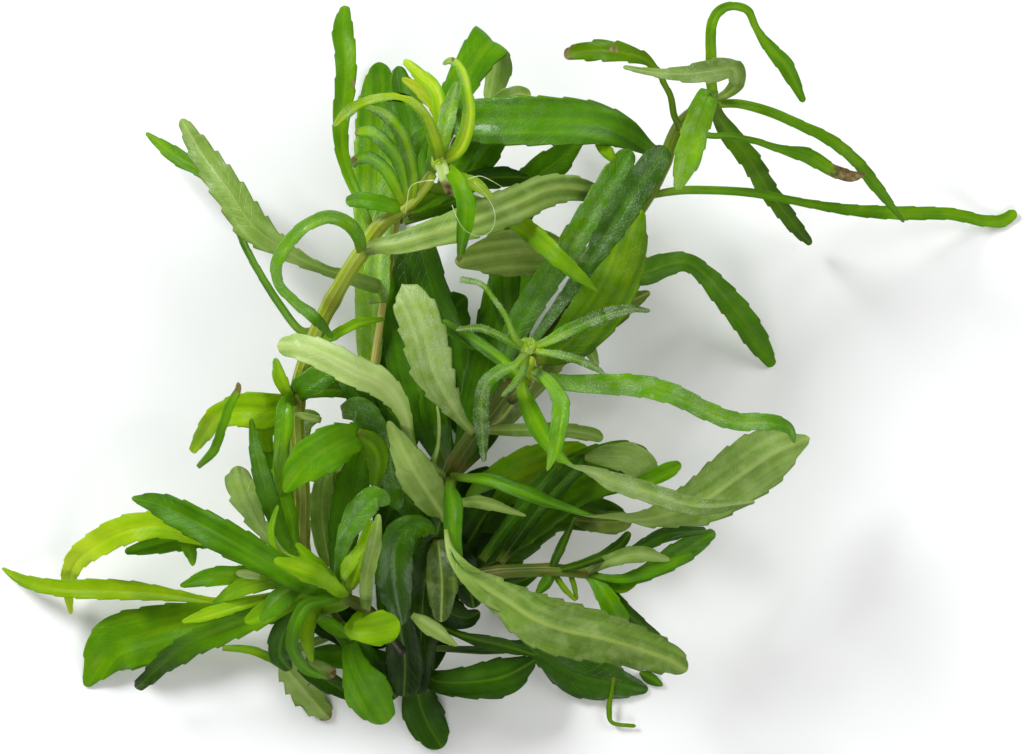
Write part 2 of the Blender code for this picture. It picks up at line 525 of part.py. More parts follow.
def low_left_shoot():
    """The shoot at the lower left, joined with the leaves that crowd around its tip."""
    shoot = solid_stem("low_left_shoot", "stem", [
        (402, 652, 19, 2.6), (370, 612, 24, 2.6), (345, 597, 30, 2.6), (320, 578, 36, 2.4),
        (300, 558, 40, 2)])
    join(shoot, [
        small_leaf("bright_tip_leaf_1", "bright", [
            (345, 597, 30, 2), (340, 592, 38, 3.1), (325, 580, 46, 4), (306, 570, 50, 5.5),
            (274, 560, 51, 1.6)]),
        small_leaf("bright_tip_leaf_2", "bright", [
            (340, 594, 31, 2), (332, 582, 40, 3), (316, 566, 45, 4), (296, 543, 46, 1.1)]),
        small_leaf("upright_leaf", "pale", [
            (366, 610, 25, 2), (366, 598, 32, 2.8), (367, 575, 38, 3.5), (374, 545, 42, 3.5),
            (379, 514, 43, 1.2)]),
        small_leaf("bent_upright_leaf", "mid", [
            (345, 597, 30, 1.8), (339, 580, 37, 1.8), (343, 545, 44, 3.5), (357, 515, 48, 6),
            (375, 498, 49, 5.6), (390, 502, 46, 1.8)], facets=9),
        small_leaf("small_lower_leaf", "mid", [
            (312, 571, 37, 1.8), (303, 582, 38, 3), (280, 599, 38, 5.3), (260, 621, 35, 1.2)]),
        small_leaf("glossy_low_leaf", "bright", [
            (306, 565, 39, 1.8), (300, 576, 37, 2.6), (270, 580, 34, 4.4), (240, 588, 31, 4.2),
            (213, 603, 26, 1)]),
        small_leaf("hooked_low_leaf", "mid", [
            (342, 596, 31, 1.8), (328, 600, 38, 2.2), (306, 606, 42, 3.1), (295, 625, 42, 3.1),
            (293, 648, 38, 3.1), (305, 668, 32, 2.6), (322, 677, 27, 1)], facets=9),
        small_leaf("cut_leaf", "bright", [
            (366, 609, 24, 2), (356, 620, 29, 2.6), (352, 630, 33, 3.6), (375, 629, 35, 7.8),
            (400, 623, 35, 7.6)]),
    ])


def side_shoot():
    """The shoot at the lower right, joined with its small leaves."""
    shoot = solid_stem("side_shoot", "stem", [
        (439, 582, 20, 3.1), (500, 572, 24, 3.1), (553, 570, 28, 2.9), (592, 573, 30, 2.4)])
    join(shoot, [
        small_leaf("shoot_leaf_1", "mid", [
            (552, 569, 28, 1.6), (556, 558, 31, 2), (562, 545, 34, 2.2), (575, 517, 35, 0.9)]),
        small_leaf("shoot_leaf_2", "mid", [
            (558, 570, 28, 1.6), (575, 566, 33, 2), (600, 557, 35, 2.4), (618, 546, 35, 2.8),
            (630, 532, 35, 1.6)]),
        small_leaf("shoot_leaf_3", "pale", [
            (586, 572, 30, 1.8), (610, 560, 36, 3.1), (640, 554, 37, 4), (670, 560, 35, 1)]),
        small_leaf("shoot_leaf_4", "dark", [
            (584, 571, 29, 1.6), (605, 564, 29, 2), (632, 552, 29, 2.6), (665, 535, 28, 3.6),
            (706, 530, 25, 1.6)]),
        small_leaf("shoot_leaf_5", "dark", [
            (588, 575, 29, 1.8), (616, 581, 28, 2.6), (645, 573, 27, 4), (683, 551, 25, 5.8),
            (715, 532, 21, 2.2)]),
        small_leaf("shoot_leaf_6", "pale", [
            (588, 573, 30, 1.8), (605, 578, 33, 1.8), (628, 578, 34, 2.4), (656, 569, 35, 3),
            (692, 554, 34, 1.2)]),
        small_leaf("shoot_leaf_7", "bright", [
            (587, 574, 30, 1.8), (596, 582, 32, 3), (606, 597, 33, 4.6), (617, 618, 31, 5.6),
            (626, 640, 28, 1.6)]),
        small_leaf("shoot_leaf_8", "mid", [
            (590, 574, 30, 1.8), (604, 586, 29, 2.6), (635, 620, 27, 3.4), (672, 648, 24, 1.2)]),
        small_leaf("shoot_leaf_9", "mid", [
            (552, 571, 28, 1.8), (546, 583, 29, 3), (536, 594, 28, 1)]),
    ])


def bottom_leaves():
    leaf("dead_tipped_leaf", "left_stem", "bright", [
        (346, 636, 14, 2), (350, 642, 20, 3.2), (355, 665, 22, 6.4), (368, 692, 20, 11),
        (386, 723, 14, 5)], fold=8)
    leaf("crumpled_leaf", "left_stem", "pale", [
        (340, 632, 13, 1.8), (320, 640, 8, 2), (295, 650, 7, 3), (286, 665, 6, 5),
        (302, 688, 4, 8.4), (318, 706, 2.6, 7), (330, 719, 0.93, 3)], turn=(180,))
    leaf("straight_down_leaf", "right_stem", "dark", [
        (422, 650, 11, 3), (424, 664, 6, 4.5), (418, 690, 3.5, 7.4), (425, 718, 2, 9.8),
        (442, 748, 1, 5.6)], fold=5)
    leaf("low_right_leaf", "right_stem", "dark", [
        (420, 668, 10, 3), (436, 681, 13, 5), (470, 682, 14, 7.9), (505, 676, 13, 9.2),
        (535, 660, 11, 2.5)], fold=8)
    low_right = small_leaf("bottom_right_leaf", "dark", [
        (434, 648, 9, 1.5), (480, 650, 7, 2), (530, 648, 4, 4.4), (575, 674, 2.5, 10),
        (615, 683, 2, 8), (648, 690, 1, 1.6)], fold=5, facets=9)
    stalk = small_leaf("thin_stalk", "olive", [
        (614, 676, 2, 1.2), (612, 690, 2.5, 1), (609, 710, 2.5, 1.4), (613, 723, 2, 1),
        (636, 726, 1.5, 1)])
    join(low_right, [stalk])


stems()
rosette()
left_crown()
top_left_leaves()
top_right_leaves()
centre_leaves()
low_left_shoot()
left_leaves()
side_shoot()
bottom_leaves()
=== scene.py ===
import math

import bmesh
import bpy
import numpy as np
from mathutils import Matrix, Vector, noise


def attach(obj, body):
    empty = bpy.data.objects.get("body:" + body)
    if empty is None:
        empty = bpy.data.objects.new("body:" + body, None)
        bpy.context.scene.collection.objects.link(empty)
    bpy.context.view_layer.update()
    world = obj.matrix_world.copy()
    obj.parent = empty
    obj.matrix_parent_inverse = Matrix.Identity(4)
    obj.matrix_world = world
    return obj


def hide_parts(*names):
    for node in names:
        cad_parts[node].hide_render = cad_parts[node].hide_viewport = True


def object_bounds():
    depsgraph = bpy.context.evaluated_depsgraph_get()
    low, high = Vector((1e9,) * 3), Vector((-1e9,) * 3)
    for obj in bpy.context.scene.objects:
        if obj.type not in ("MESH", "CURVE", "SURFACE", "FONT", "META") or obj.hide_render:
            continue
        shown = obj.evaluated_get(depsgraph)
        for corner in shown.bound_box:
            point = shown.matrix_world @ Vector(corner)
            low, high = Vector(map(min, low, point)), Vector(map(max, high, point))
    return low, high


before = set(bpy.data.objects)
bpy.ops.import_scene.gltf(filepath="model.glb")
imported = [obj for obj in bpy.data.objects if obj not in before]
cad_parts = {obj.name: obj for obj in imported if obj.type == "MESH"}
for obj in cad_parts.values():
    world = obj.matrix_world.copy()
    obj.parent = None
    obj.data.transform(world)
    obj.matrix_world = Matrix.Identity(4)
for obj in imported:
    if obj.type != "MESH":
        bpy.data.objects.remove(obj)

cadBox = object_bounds()
mm = 0.001

# how a pixel of the photograph, 1024 x 754, becomes a place: the bunch is seen from straight above
view = {
    "pixel": 0.22 * mm,
    "viewerHeight": 1.0,
    "middleHeight": 35 * mm,
    "centre": (512, 377),
    "shift": (0.6 * mm, 1.9 * mm),
    "lowest": 0.34 * mm,
    "frameWide": 1024,
    "sensor": 36,
    "thinnest": 0.07 * mm,
}


def spot(px, py, height):
    depth = (view["viewerHeight"] - height * mm) / (view["viewerHeight"] - view["middleHeight"])
    scale = view["pixel"] * depth
    return [(px - view["centre"][0]) * scale + view["shift"][0],
            (view["centre"][1] - py) * scale + view["shift"][1],
            height * mm - view["lowest"]]


def smooth(stops, steps=14):  # Catmull-Rom through the stops
    stops = np.array(stops, float)
    padded = np.vstack([2 * stops[0] - stops[1], stops, 2 * stops[-1] - stops[-2]])
    rows = []
    for i in range(len(stops) - 1):
        a, b, c, d = padded[i:i + 4]
        for t in np.arange(steps) / steps:
            rows.append(0.5 * (2 * b + (c - a) * t + (2 * a - 5 * b + 4 * c - d) * t * t
                               + (3 * b - 3 * c + d - a) * t ** 3))
    rows.append(stops[-1])
    return np.array(rows)


def runOf(rows):  # how far along each row lies, in metres
    steps = np.linalg.norm(np.diff(rows[:, :3], axis=0), axis=1)
    return np.concatenate([[0], np.cumsum(steps)])


def readAt(rows, where):  # the rows at given runs
    run = runOf(rows)
    return np.column_stack([np.interp(where, run, rows[:, k]) for k in range(rows.shape[1])])


def readRoute(route):  # place and half width of each stop, made smooth
    rows = smooth([spot(*place) + [width * mm / 2] for *place, width in np.reshape(route, (-1, 4))])
    rows[:, 3] = np.maximum(rows[:, 3], view["thinnest"])
    return rows


def addObject(name, data, place=(0, 0, 0)):
    item = bpy.data.objects.new(name, data)
    item.location = place
    bpy.context.scene.collection.objects.link(item)
    return item


def newPaint(name):
    paint = bpy.data.materials.new(name)
    paint.use_nodes = True
    return paint, paint.node_tree, paint.node_tree.nodes["Principled BSDF"]


# camera and light

studio = {
    "floorReach": 3.0,
    "floor": {"Base Color": (0.93, 0.93, 0.93, 1), "Roughness": 0.9, "Specular IOR Level": 0.1},
    "world": {"Color": (0.97, 0.99, 1.0, 1), "Strength": 0.20},
    # name: (place, size, watts, colour)
    "lamps": {
        "windowLight": ((-0.95, 0.85, 0.95), 0.5, 25.0, (0.96, 0.98, 1.0)),
        "fillLight": ((1.0, 0.55, 1.1), 0.9, 9.0, (1.0, 1.0, 1.0)),
        "frontLight": ((0.15, -1.1, 0.9), 0.8, 8.0, (1.0, 0.99, 0.96)),
    },
}


def makeCamera():
    distance = view["viewerHeight"] - view["middleHeight"]
    data = bpy.data.cameras.new("camera")
    data.sensor_width = view["sensor"]
    data.lens = view["sensor"] * distance / (view["frameWide"] * view["pixel"])
    place = (*view["shift"], view["viewerHeight"] - view["lowest"])
    bpy.context.scene.camera = addObject("camera", data, place)


def makeStudio():
    world = bpy.data.worlds.new("studioWorld")
    world.use_nodes = True
    setValues(world.node_tree.nodes["Background"], studio["world"])
    bpy.context.scene.world = world
    bpy.context.scene.view_settings.view_transform = "Standard"
    for name, (place, size, watts, colour) in studio["lamps"].items():
        data = bpy.data.lights.new(name, "AREA")
        data.size = size
        data.energy = watts
        data.color = colour
        lamp = addObject(name, data, place)
        lamp.rotation_euler = (-Vector(place)).to_track_quat("-Z", "Y").to_euler()
    reach = studio["floorReach"]
    mesh = bpy.data.meshes.new("floor")
    mesh.from_pydata([(-reach, -reach, 0), (reach, -reach, 0), (reach, reach, 0), (-reach, reach, 0)], [],
                     [(0, 1, 2, 3)])
    paint, _, shader = newPaint("floorPaint")
    setValues(shader, studio["floor"])
    mesh.materials.append(paint)
    addObject("floor", mesh)


# node helpers

def setValues(node, values):
    for name, value in values.items():
        node.inputs[name].default_value = value


def feed(tree, socket, value):
    if isinstance(value, bpy.types.NodeSocket):
        tree.links.new(value, socket)
    else:
        socket.default_value = value


def addNode(tree, kind, **inputs):
    node = tree.nodes.new(kind)
    for name, value in inputs.items():
        feed(tree, node.inputs[name.replace("_", " ")], value)
    return node


def calc(tree, operation, a, b=0.0, c=0.0, clamp=False):
    node = tree.nodes.new("ShaderNodeMath")
    node.operation = operation
    node.use_clamp = clamp
    for socket, value in zip(node.inputs, (a, b, c)):
        feed(tree, socket, value)
    return node.outputs[0]


def times(tree, a, b):
    return calc(tree, "MULTIPLY", a, b)


def addTimes(tree, start, share, value, clamp=False):  # start + share * value
    return calc(tree, "MULTIPLY_ADD", value, share, start, clamp)


def ease(tree, value, low, high, to=(0.0, 1.0)):
    node = addNode(tree, "ShaderNodeMapRange", Value=value, From_Min=low, From_Max=high,
                   To_Min=to[0], To_Max=to[1])
    node.interpolation_type = "SMOOTHSTEP"
    return node.outputs["Result"]


def blendColour(tree, share, first, second, way="MIX"):
    node = tree.nodes.new("ShaderNodeMix")
    node.data_type = "RGBA"
    node.blend_type = way
    node.clamp_factor = True
    for place, value in ((0, share), (6, first), (7, second)):
        feed(tree, node.inputs[place], value)
    return node.outputs[2]


def ramp(tree, value, stops):
    node = addNode(tree, "ShaderNodeValToRGB", Fac=value)
    bar = node.color_ramp.elements
    while len(bar) < len(stops):
        bar.new(0.5)
    for element, (place, colour) in zip(bar, stops):
        element.position = place
        element.color = (*colour, 1)
    return node.outputs["Color"]


def told(tree, name):  # a number kept on the mesh
    node = tree.nodes.new("ShaderNodeAttribute")
    node.attribute_name = name
    return node.outputs["Fac"]


def noiseValue(tree, scale, detail=2.0):
    place = tree.nodes.new("ShaderNodeTexCoord").outputs["Object"]
    return addNode(tree, "ShaderNodeTexNoise", Vector=place, Scale=scale, Detail=detail).outputs["Fac"]


def makeGroup(name, kind, inputs, outputs):
    tree = bpy.data.node_groups.new(name, kind)
    for way, sockets in (("INPUT", inputs), ("OUTPUT", outputs)):
        for label, sort in sockets.items():
            tree.interface.new_socket(label, in_out=way, socket_type="NodeSocket" + sort)
    return tree, tree.nodes.new("NodeGroupInput").outputs, tree.nodes.new("NodeGroupOutput").inputs


makeCamera()
makeStudio()
print("camera and light are up")


# leaf skins

veinForm = {  # gaps and widths in mm, scales to the metre
    "rib half width": 0.42,
    "vein gap": 2.4,
    "vein slant": 1.3,
    "vein from": 0.80,
    "wobble scale": 260.0,
    "wobble": 1.6,
    "net scale": 1300.0,
    "grain scale": 3200.0,
    "blotch scale": 170.0,
    "streak scale": 0.85,
    "streak run": 0.035,
    "hair scale": 2600.0,
    "patch scale": 330.0,
    "patch share": 0.16,
    "stripe gap": 2.7,
}
veinEase = {  # where the soft steps of the pattern begin and end
    "net": (0.02, 0.16),
    "specks": (0.16, 0.52),
    "patches": (0.35, 0.62),
}


def makeVeinGroup():  # midrib, slanting side veins, the fine net between them and mottling
    labels = ("rib", "veins", "net", "grain", "blotch", "streaks", "frost", "stripes")
    tree, given, out = makeGroup("leafVeins", "ShaderNodeTree", {label: "Float" for label in veinForm},
                                 {label: "Float" for label in labels})
    signed = told(tree, "away")
    away = calc(tree, "ABSOLUTE", signed)
    rib = ease(tree, away, 0.0, times(tree, given["rib half width"], told(tree, "ribWide")), to=(1.0, 0.0))
    wobble = times(tree, noiseValue(tree, given["wobble scale"]), given["wobble"])
    place = addTimes(tree, calc(tree, "ADD", told(tree, "along"), wobble),
                     times(tree, given["vein slant"], -1.0), away)
    place = calc(tree, "ADD", place, calc(tree, "GREATER_THAN", signed, 0.0))
    turn = calc(tree, "FRACT", calc(tree, "DIVIDE", place, given["vein gap"]))
    line = times(tree, calc(tree, "ABSOLUTE", calc(tree, "SUBTRACT", turn, 0.5)), 2.0)
    veins = times(tree, ease(tree, line, given["vein from"], 1.0), calc(tree, "SUBTRACT", 1.0, rib))

    def cells(scale, feature="F1"):
        place = tree.nodes.new("ShaderNodeTexCoord").outputs["Object"]
        node = addNode(tree, "ShaderNodeTexVoronoi", Vector=place, Scale=scale)
        node.feature = feature
        return node.outputs["Distance"]

    net = ease(tree, cells(given["net scale"], "DISTANCE_TO_EDGE"), *veinEase["net"], to=(1.0, 0.0))
    # streaks that run the length of the leaf
    lane = addNode(tree, "ShaderNodeCombineXYZ", X=times(tree, signed, given["streak scale"]),
                   Y=times(tree, told(tree, "along"), given["streak run"]), Z=told(tree, "seed"))
    streaks = addNode(tree, "ShaderNodeTexNoise", Vector=lane.outputs[0], Scale=1.0, Detail=3.0)
    streaks = streaks.outputs["Fac"]
    # the pale hairs and bloom of leaves, seen as fine bright specks and whitish patches; on glossy leaves
    # the same whitening is painted sheen
    specks = ease(tree, cells(given["hair scale"]), *veinEase["specks"], to=(1.0, 0.0))
    patches = ease(tree, noiseValue(tree, given["patch scale"]), *veinEase["patches"])
    sheen = calc(tree, "MAXIMUM", times(tree, specks, patches), times(tree, patches, given["patch share"]))
    # light and dark bands across some leaves: painted light and shade of their broad lengthwise pleats
    pleatShade = calc(tree, "DIVIDE", times(tree, signed, math.tau), given["stripe gap"])
    pleatShade = calc(tree, "SINE", addTimes(tree, pleatShade, 2.0, streaks))
    made = (rib, veins, net, cells(given["grain scale"]), noiseValue(tree, given["blotch scale"], 3.0),
            streaks, times(tree, sheen, told(tree, "frost")), times(tree, pleatShade, told(tree, "stripes")))
    for label, value in zip(labels, made):
        tree.links.new(value, out[label])
    return tree


greens = [(0.0, (0.010, 0.034, 0.0)), (0.25, (0.042, 0.135, 0.0)), (0.5, (0.108, 0.325, 0.0)),
          (0.75, (0.275, 0.545, 0.0)), (1.0, (0.620, 0.800, 0.020))]
pales = [(0.0, (0.045, 0.095, 0.004)), (0.3, (0.150, 0.275, 0.020)), (0.6, (0.320, 0.480, 0.085)),
         (0.8, (0.480, 0.640, 0.190)), (1.0, (0.700, 0.820, 0.400))]
dying = [(0.3, (0.100, 0.065, 0.020)), (0.5, (0.270, 0.205, 0.075)), (0.7, (0.460, 0.380, 0.170))]

leafFinishes = {
    "leafUpper": {
        "colours": greens, "rib": (0.22, 0.38, 0.02), "ribShare": 0.40, "veinShare": 0.12,
        "netShare": 0.04, "bloom": 0.0, "rough": (0.32, 0.44), "coat": 0.0, "thin": 0.36, "streak": 0.34,
        "specular": 0.18, "relief": 0.5},
    "leafGlossy": {
        "colours": greens, "rib": (0.10, 0.24, 0.01), "ribShare": 0.35, "veinShare": 0.10,
        "netShare": 0.04, "bloom": 0.0, "rough": (0.24, 0.36), "coat": 0.22, "thin": 0.26, "streak": 0.30,
        "specular": 0.26, "relief": 0.7},
    "leafUnder": {
        "colours": pales, "rib": (0.48, 0.60, 0.14), "ribShare": 0.62, "veinShare": 0.24,
        "netShare": 0.10, "bloom": 0.24, "rough": (0.30, 0.44), "coat": 0.04, "thin": 0.30, "streak": 0.52,
        "specular": 0.34, "relief": 0.6},
    "leafYoung": {
        "colours": greens, "rib": (0.36, 0.50, 0.06), "ribShare": 0.5, "veinShare": 0.16,
        "netShare": 0.20, "bloom": 0.0, "rough": (0.28, 0.42), "coat": 0.08, "thin": 0.28, "streak": 0.45,
        "specular": 0.30, "relief": 0.9},
}
leafSkin = {  # what all finishes share; a noise is a scale and a detail
    "blotch": 0.34,
    "stripes": 0.13,
    "lighter": 0.24,
    "bloomNoise": (300.0, 4.0),
    "bloomEase": (0.46, 0.70),
    "bloomColour": (0.58, 0.72, 0.26, 1),
    # the whitish frost: pale hairs and bloom of the leaves, and painted sheen on the glossy ones
    "frostAndSheenShare": 0.9,
    "frostAndSheenColour": (0.66, 0.78, 0.52, 1),
    "rimEase": (0.90, 1.0),
    "rimShare": 0.35,
    "stalkEase": (0.0, 0.16),
    "stalkShare": 0.55,
    "stalkColour": (0.20, 0.25, 0.035, 1),
    "warmTint": (1.35, 0.80, 0.75, 1),
    "deadNoise": (900.0, 4.0),
    "deadRough": 0.3,
    "coatRough": 0.14,
    "reliefDepth": 0.12 * mm,
    "heights": {"net": -0.25, "veins": -0.8, "grain": 0.4, "streaks": 0.8, "frost": 1.5},
}


def makeLeafPaint(name, look):
    paint, tree, shader = newPaint(name)
    group = tree.nodes.new("ShaderNodeGroup")
    group.node_tree = leafVeins
    setValues(group, veinForm)
    veins = group.outputs
    mottle = addTimes(tree, -leafSkin["blotch"] / 2, leafSkin["blotch"], veins["blotch"])
    mottle = addTimes(tree, mottle, leafSkin["stripes"], veins["stripes"])
    mottle = addTimes(tree, mottle, look["streak"], calc(tree, "SUBTRACT", veins["streaks"], 0.5))
    tone = calc(tree, "ADD", told(tree, "tone"), mottle, clamp=True)
    colour = ramp(tree, tone, look["colours"])
    light = ramp(tree, calc(tree, "ADD", tone, leafSkin["lighter"], clamp=True), look["colours"])
    colour = blendColour(tree, times(tree, veins["veins"], look["veinShare"]), colour, light)
    colour = blendColour(tree, times(tree, veins["net"], look["netShare"]), colour, light)
    if look["bloom"]:
        haze = noiseValue(tree, *leafSkin["bloomNoise"])
        haze = ease(tree, haze, *leafSkin["bloomEase"], to=(0.0, look["bloom"]))
        colour = blendColour(tree, haze, colour, leafSkin["bloomColour"])
    colour = blendColour(tree, times(tree, veins["rib"], look["ribShare"]), colour, (*look["rib"], 1))
    # whiten with frost: pale hairs and bloom, partly painted sheen
    frost = times(tree, veins["frost"], leafSkin["frostAndSheenShare"])
    colour = blendColour(tree, frost, colour, leafSkin["frostAndSheenColour"])
    rim = ease(tree, told(tree, "edge"), *leafSkin["rimEase"], to=(0.0, leafSkin["rimShare"]))
    colour = blendColour(tree, rim, colour, light)
    stalk = ease(tree, told(tree, "run"), *leafSkin["stalkEase"], to=(leafSkin["stalkShare"], 0.0))
    colour = blendColour(tree, stalk, colour, leafSkin["stalkColour"])
    colour = blendColour(tree, told(tree, "warm"), colour, leafSkin["warmTint"], "MULTIPLY")
    brown = ramp(tree, noiseValue(tree, *leafSkin["deadNoise"]), dying)
    dead = told(tree, "dead")
    low, high = look["rough"]
    rough = addTimes(tree, low, high - low, veins["grain"])
    height = 0.0
    for label, share in leafSkin["heights"].items():
        height = addTimes(tree, height, share, veins[label])
    bump = addNode(tree, "ShaderNodeBump", Strength=look["relief"], Distance=leafSkin["reliefDepth"],
                   Height=height)
    for label, value in (
            ("Base Color", blendColour(tree, dead, colour, brown)), ("Normal", bump.outputs["Normal"]),
            ("Roughness", addTimes(tree, rough, leafSkin["deadRough"], dead, clamp=True)),
            ("Coat Weight", look["coat"]), ("Coat Roughness", leafSkin["coatRough"]),
            ("Specular IOR Level", look["specular"])):
        feed(tree, shader.inputs[label], value)
    glow = addNode(tree, "ShaderNodeBsdfTranslucent", Color=blendColour(tree, dead, light, brown))
    mix = addNode(tree, "ShaderNodeMixShader", Fac=look["thin"])
    tree.links.new(shader.outputs[0], mix.inputs[1])
    tree.links.new(glow.outputs[0], mix.inputs[2])
    tree.links.new(mix.outputs[0], tree.nodes["Material Output"].inputs["Surface"])
    return paint


# stem and hair skins

stemFinishes = {
    "stemSkin": {
        "colours": [(0.0, (0.012, 0.012, 0.002)), (0.10, (0.045, 0.055, 0.006)),
                    (0.35, (0.135, 0.185, 0.002)), (0.8, (0.235, 0.310, 0.004)),
                    (1.0, (0.380, 0.500, 0.010))],
        "streak": (0.50, 0.58, 0.20), "streakShare": 0.55, "rough": 0.34},
    "brownStemSkin": {
        "colours": [(0.0, (0.010, 0.009, 0.002)), (0.12, (0.030, 0.032, 0.002)),
                    (0.4, (0.052, 0.080, 0.001)), (0.75, (0.082, 0.138, 0.002)),
                    (1.0, (0.130, 0.200, 0.006))],
        "streak": (0.15, 0.20, 0.012), "streakShare": 0.25, "rough": 0.42},
    "tanStemSkin": {
        "colours": [(0.0, (0.012, 0.010, 0.002)), (0.15, (0.050, 0.045, 0.006)),
                    (0.38, (0.200, 0.165, 0.030)), (0.6, (0.440, 0.380, 0.090)),
                    (1.0, (0.420, 0.420, 0.080))],
        "streak": (0.56, 0.52, 0.20), "streakShare": 0.45, "rough": 0.42},
}
stemSkin = {  # what all stems share
    "blotchNoise": (240.0, 4.0),
    "blotch": 0.10,
    "ridgeEase": (0.45, 1.0),
    "ridgeRun": (0.12, 0.40),
    "knotShare": 0.30,
    "knotColour": (0.15, 0.085, 0.010, 1),
    "speckScale": 1500.0,
    "speckEase": (0.62, 0.74),
    "speckShare": 0.35,
    "specular": 0.30,
    "relief": 0.4,
    "reliefDepth": 0.1 * mm,
    "reliefNoise": (1100.0, 3.0),
}
hairSkin = {
    "scale": 300.0,
    "colours": [(0.35, (0.42, 0.56, 0.20)), (0.65, (0.74, 0.82, 0.46))],
    "rough": 0.35,
}


def makeStemPaint(name, look):
    paint, tree, shader = newPaint(name)
    streak = (*look["streak"], 1)
    place = addTimes(tree, told(tree, "run"), stemSkin["blotch"], noiseValue(tree, *stemSkin["blotchNoise"]))
    place = calc(tree, "SUBTRACT", place, stemSkin["blotch"] / 2, clamp=True)
    streaks = ease(tree, told(tree, "ridge"), *stemSkin["ridgeEase"], to=(0.0, look["streakShare"]))
    streaks = times(tree, streaks, ease(tree, told(tree, "run"), *stemSkin["ridgeRun"]))
    colour = blendColour(tree, streaks, ramp(tree, place, look["colours"]), streak)
    knots = calc(tree, "MULTIPLY", told(tree, "knot"), stemSkin["knotShare"], clamp=True)
    colour = blendColour(tree, knots, colour, stemSkin["knotColour"])
    specks = noiseValue(tree, stemSkin["speckScale"])
    specks = ease(tree, specks, *stemSkin["speckEase"], to=(0.0, stemSkin["speckShare"]))
    bump = addNode(tree, "ShaderNodeBump", Strength=stemSkin["relief"], Distance=stemSkin["reliefDepth"],
                   Height=noiseValue(tree, *stemSkin["reliefNoise"]))
    for label, value in (
            ("Base Color", blendColour(tree, specks, colour, streak)), ("Normal", bump.outputs["Normal"]),
            ("Roughness", look["rough"]), ("Specular IOR Level", stemSkin["specular"])):
        feed(tree, shader.inputs[label], value)
    return paint


def makeHairPaint():
    paint, tree, shader = newPaint("bristle")
    tint = ramp(tree, noiseValue(tree, hairSkin["scale"]), hairSkin["colours"])
    feed(tree, shader.inputs["Base Color"], tint)
    feed(tree, shader.inputs["Roughness"], hairSkin["rough"])
    return paint


leafVeins = makeVeinGroup()
paints = {name: makeLeafPaint(name, look) for name, look in leafFinishes.items()}
paints.update({name: makeStemPaint(name, look) for name, look in stemFinishes.items()})
paints["bristle"] = makeHairPaint()
print("materials are made:", len(paints))


# leaf shapes

blade = {  # lengths in mm; a pair of halves says where something begins and where it is full
    "rowGap": 0.55,
    "rowLimits": (8, 150),
    "across": 12,
    "crowding": (0.55, 0.45),
    "tipReach": 0.8,
    "tipRows": 7,
    "tipShare": 0.06,
    "midThickness": 0.28,
    "stalkThickness": 0.75,
    "stalkHalves": (0.8, 1.3),
    "stalkRun": (0.15, 0.5),
    "thickShare": 1.5,
    "ribHeight": 0.26,
    "ribWidth": 0.42,
    "ribHalves": (1.0, 2.0),
    "ribFade": 0.6,
    "grooveDepth": 0.10,
    "bulge": 0.05,
    "foldShare": 0.7,
    "waveLength": 12.0,
    "waveHalf": 3,
    "wavePower": 1.6,
    "toothHalf": 3.2,
    "toothFrom": 0.7,
    "toothRun": (0.18, 0.40),
    "crumpleScale": 130,
    "crumpleHalf": 2.5,
    "steepest": 0.35,
    "deadEdge": (-0.02, 0.03),
    "deadBow": 0.05,
    "spotRim": 0.6,
    "lowest": 0.03,
}
chance = {  # how far the seed of a leaf moves its teeth, waves and streaks
    "teeth": 1.7,
    "waves": 2.1,
    "streaks": 7.3,
    "secondHalf": (0.45, 1.9),
}
usual = {  # what a leaf has where it says nothing of its own; lengths in mm, angles in degrees
    "kind": "plain",
    "turn": (0,),
    "doubled": False,
    "point": 0.0,
    "fold": 14,
    "wave": 0.34,
    "toothGap": 5.2,
    "toothDepth": 0.42,
    "crumple": 0.30,
    # how much the tone falls towards the margins: painted shade of the leaf's curve
    "sides": 0.08,
    "frost": (0.0,),
    "dead": 2.0,
    "spots": (),
    "warm": 0.0,
    "ribWide": 1.0,
    "stripes": 0.08,
}
leafKinds = {  # the finish of the upper face and of the underside
    "plain": ("leafUpper", "leafUnder"),
    "glossy": ("leafGlossy", "leafUnder"),
    "young": ("leafYoung", "leafYoung"),
    "pale": ("leafUnder", "leafUnder"),
}


def step(values, low, high):
    t = np.clip((values - low) / (high - low), 0, 1)
    return t * t * (3 - 2 * t)


def along(share, values):  # values spread evenly over the run of a leaf
    return np.interp(share, np.linspace(0, 1, len(values)), values)


def framesOf(rows, run, turn, doubled):  # side and face direction of each row
    lines = np.gradient(rows[:, :3], run, axis=0)
    lines /= np.linalg.norm(lines, axis=1)[:, None]
    flats = []
    for line in lines:
        flat = np.cross(line, (0, 0, 1))
        if flats and (doubled or np.linalg.norm(flat) < blade["steepest"]):
            flat = flats[-1] - line * np.dot(flats[-1], line)
        flats.append(flat / np.linalg.norm(flat))
    flats = np.array(flats)
    up = np.cross(flats, lines)
    angle = np.radians(along(run / run[-1], turn))[:, None]
    side = flats * np.cos(angle) + up * np.sin(angle)
    return side, np.cross(side, lines)


def leafRows(leaf):  # the rows of a leaf, their half widths and runs, closer together at the tip
    rows = readRoute(leaf["route"])
    length = runOf(rows)[-1]
    tip = max(rows[-1, 3], blade["tipReach"] * mm)
    plain = int(np.clip((length - tip) / (blade["rowGap"] * mm), *blade["rowLimits"]))
    bend = np.linspace(0, math.pi / 2, blade["tipRows"] + 1)[1:]
    run = np.concatenate([np.linspace(0, length - tip, plain + 1), length - tip + tip * np.sin(bend)])
    rows = readAt(rows, run)
    closing = np.clip((run - length + tip) / tip, 0, 1)
    point = leaf["point"]
    closed = (1 - point) * np.sqrt(1 - closing ** 2) + point * (1 - closing)
    return rows, rows[:, 3] * np.maximum(closed, blade["tipShare"]), run, length


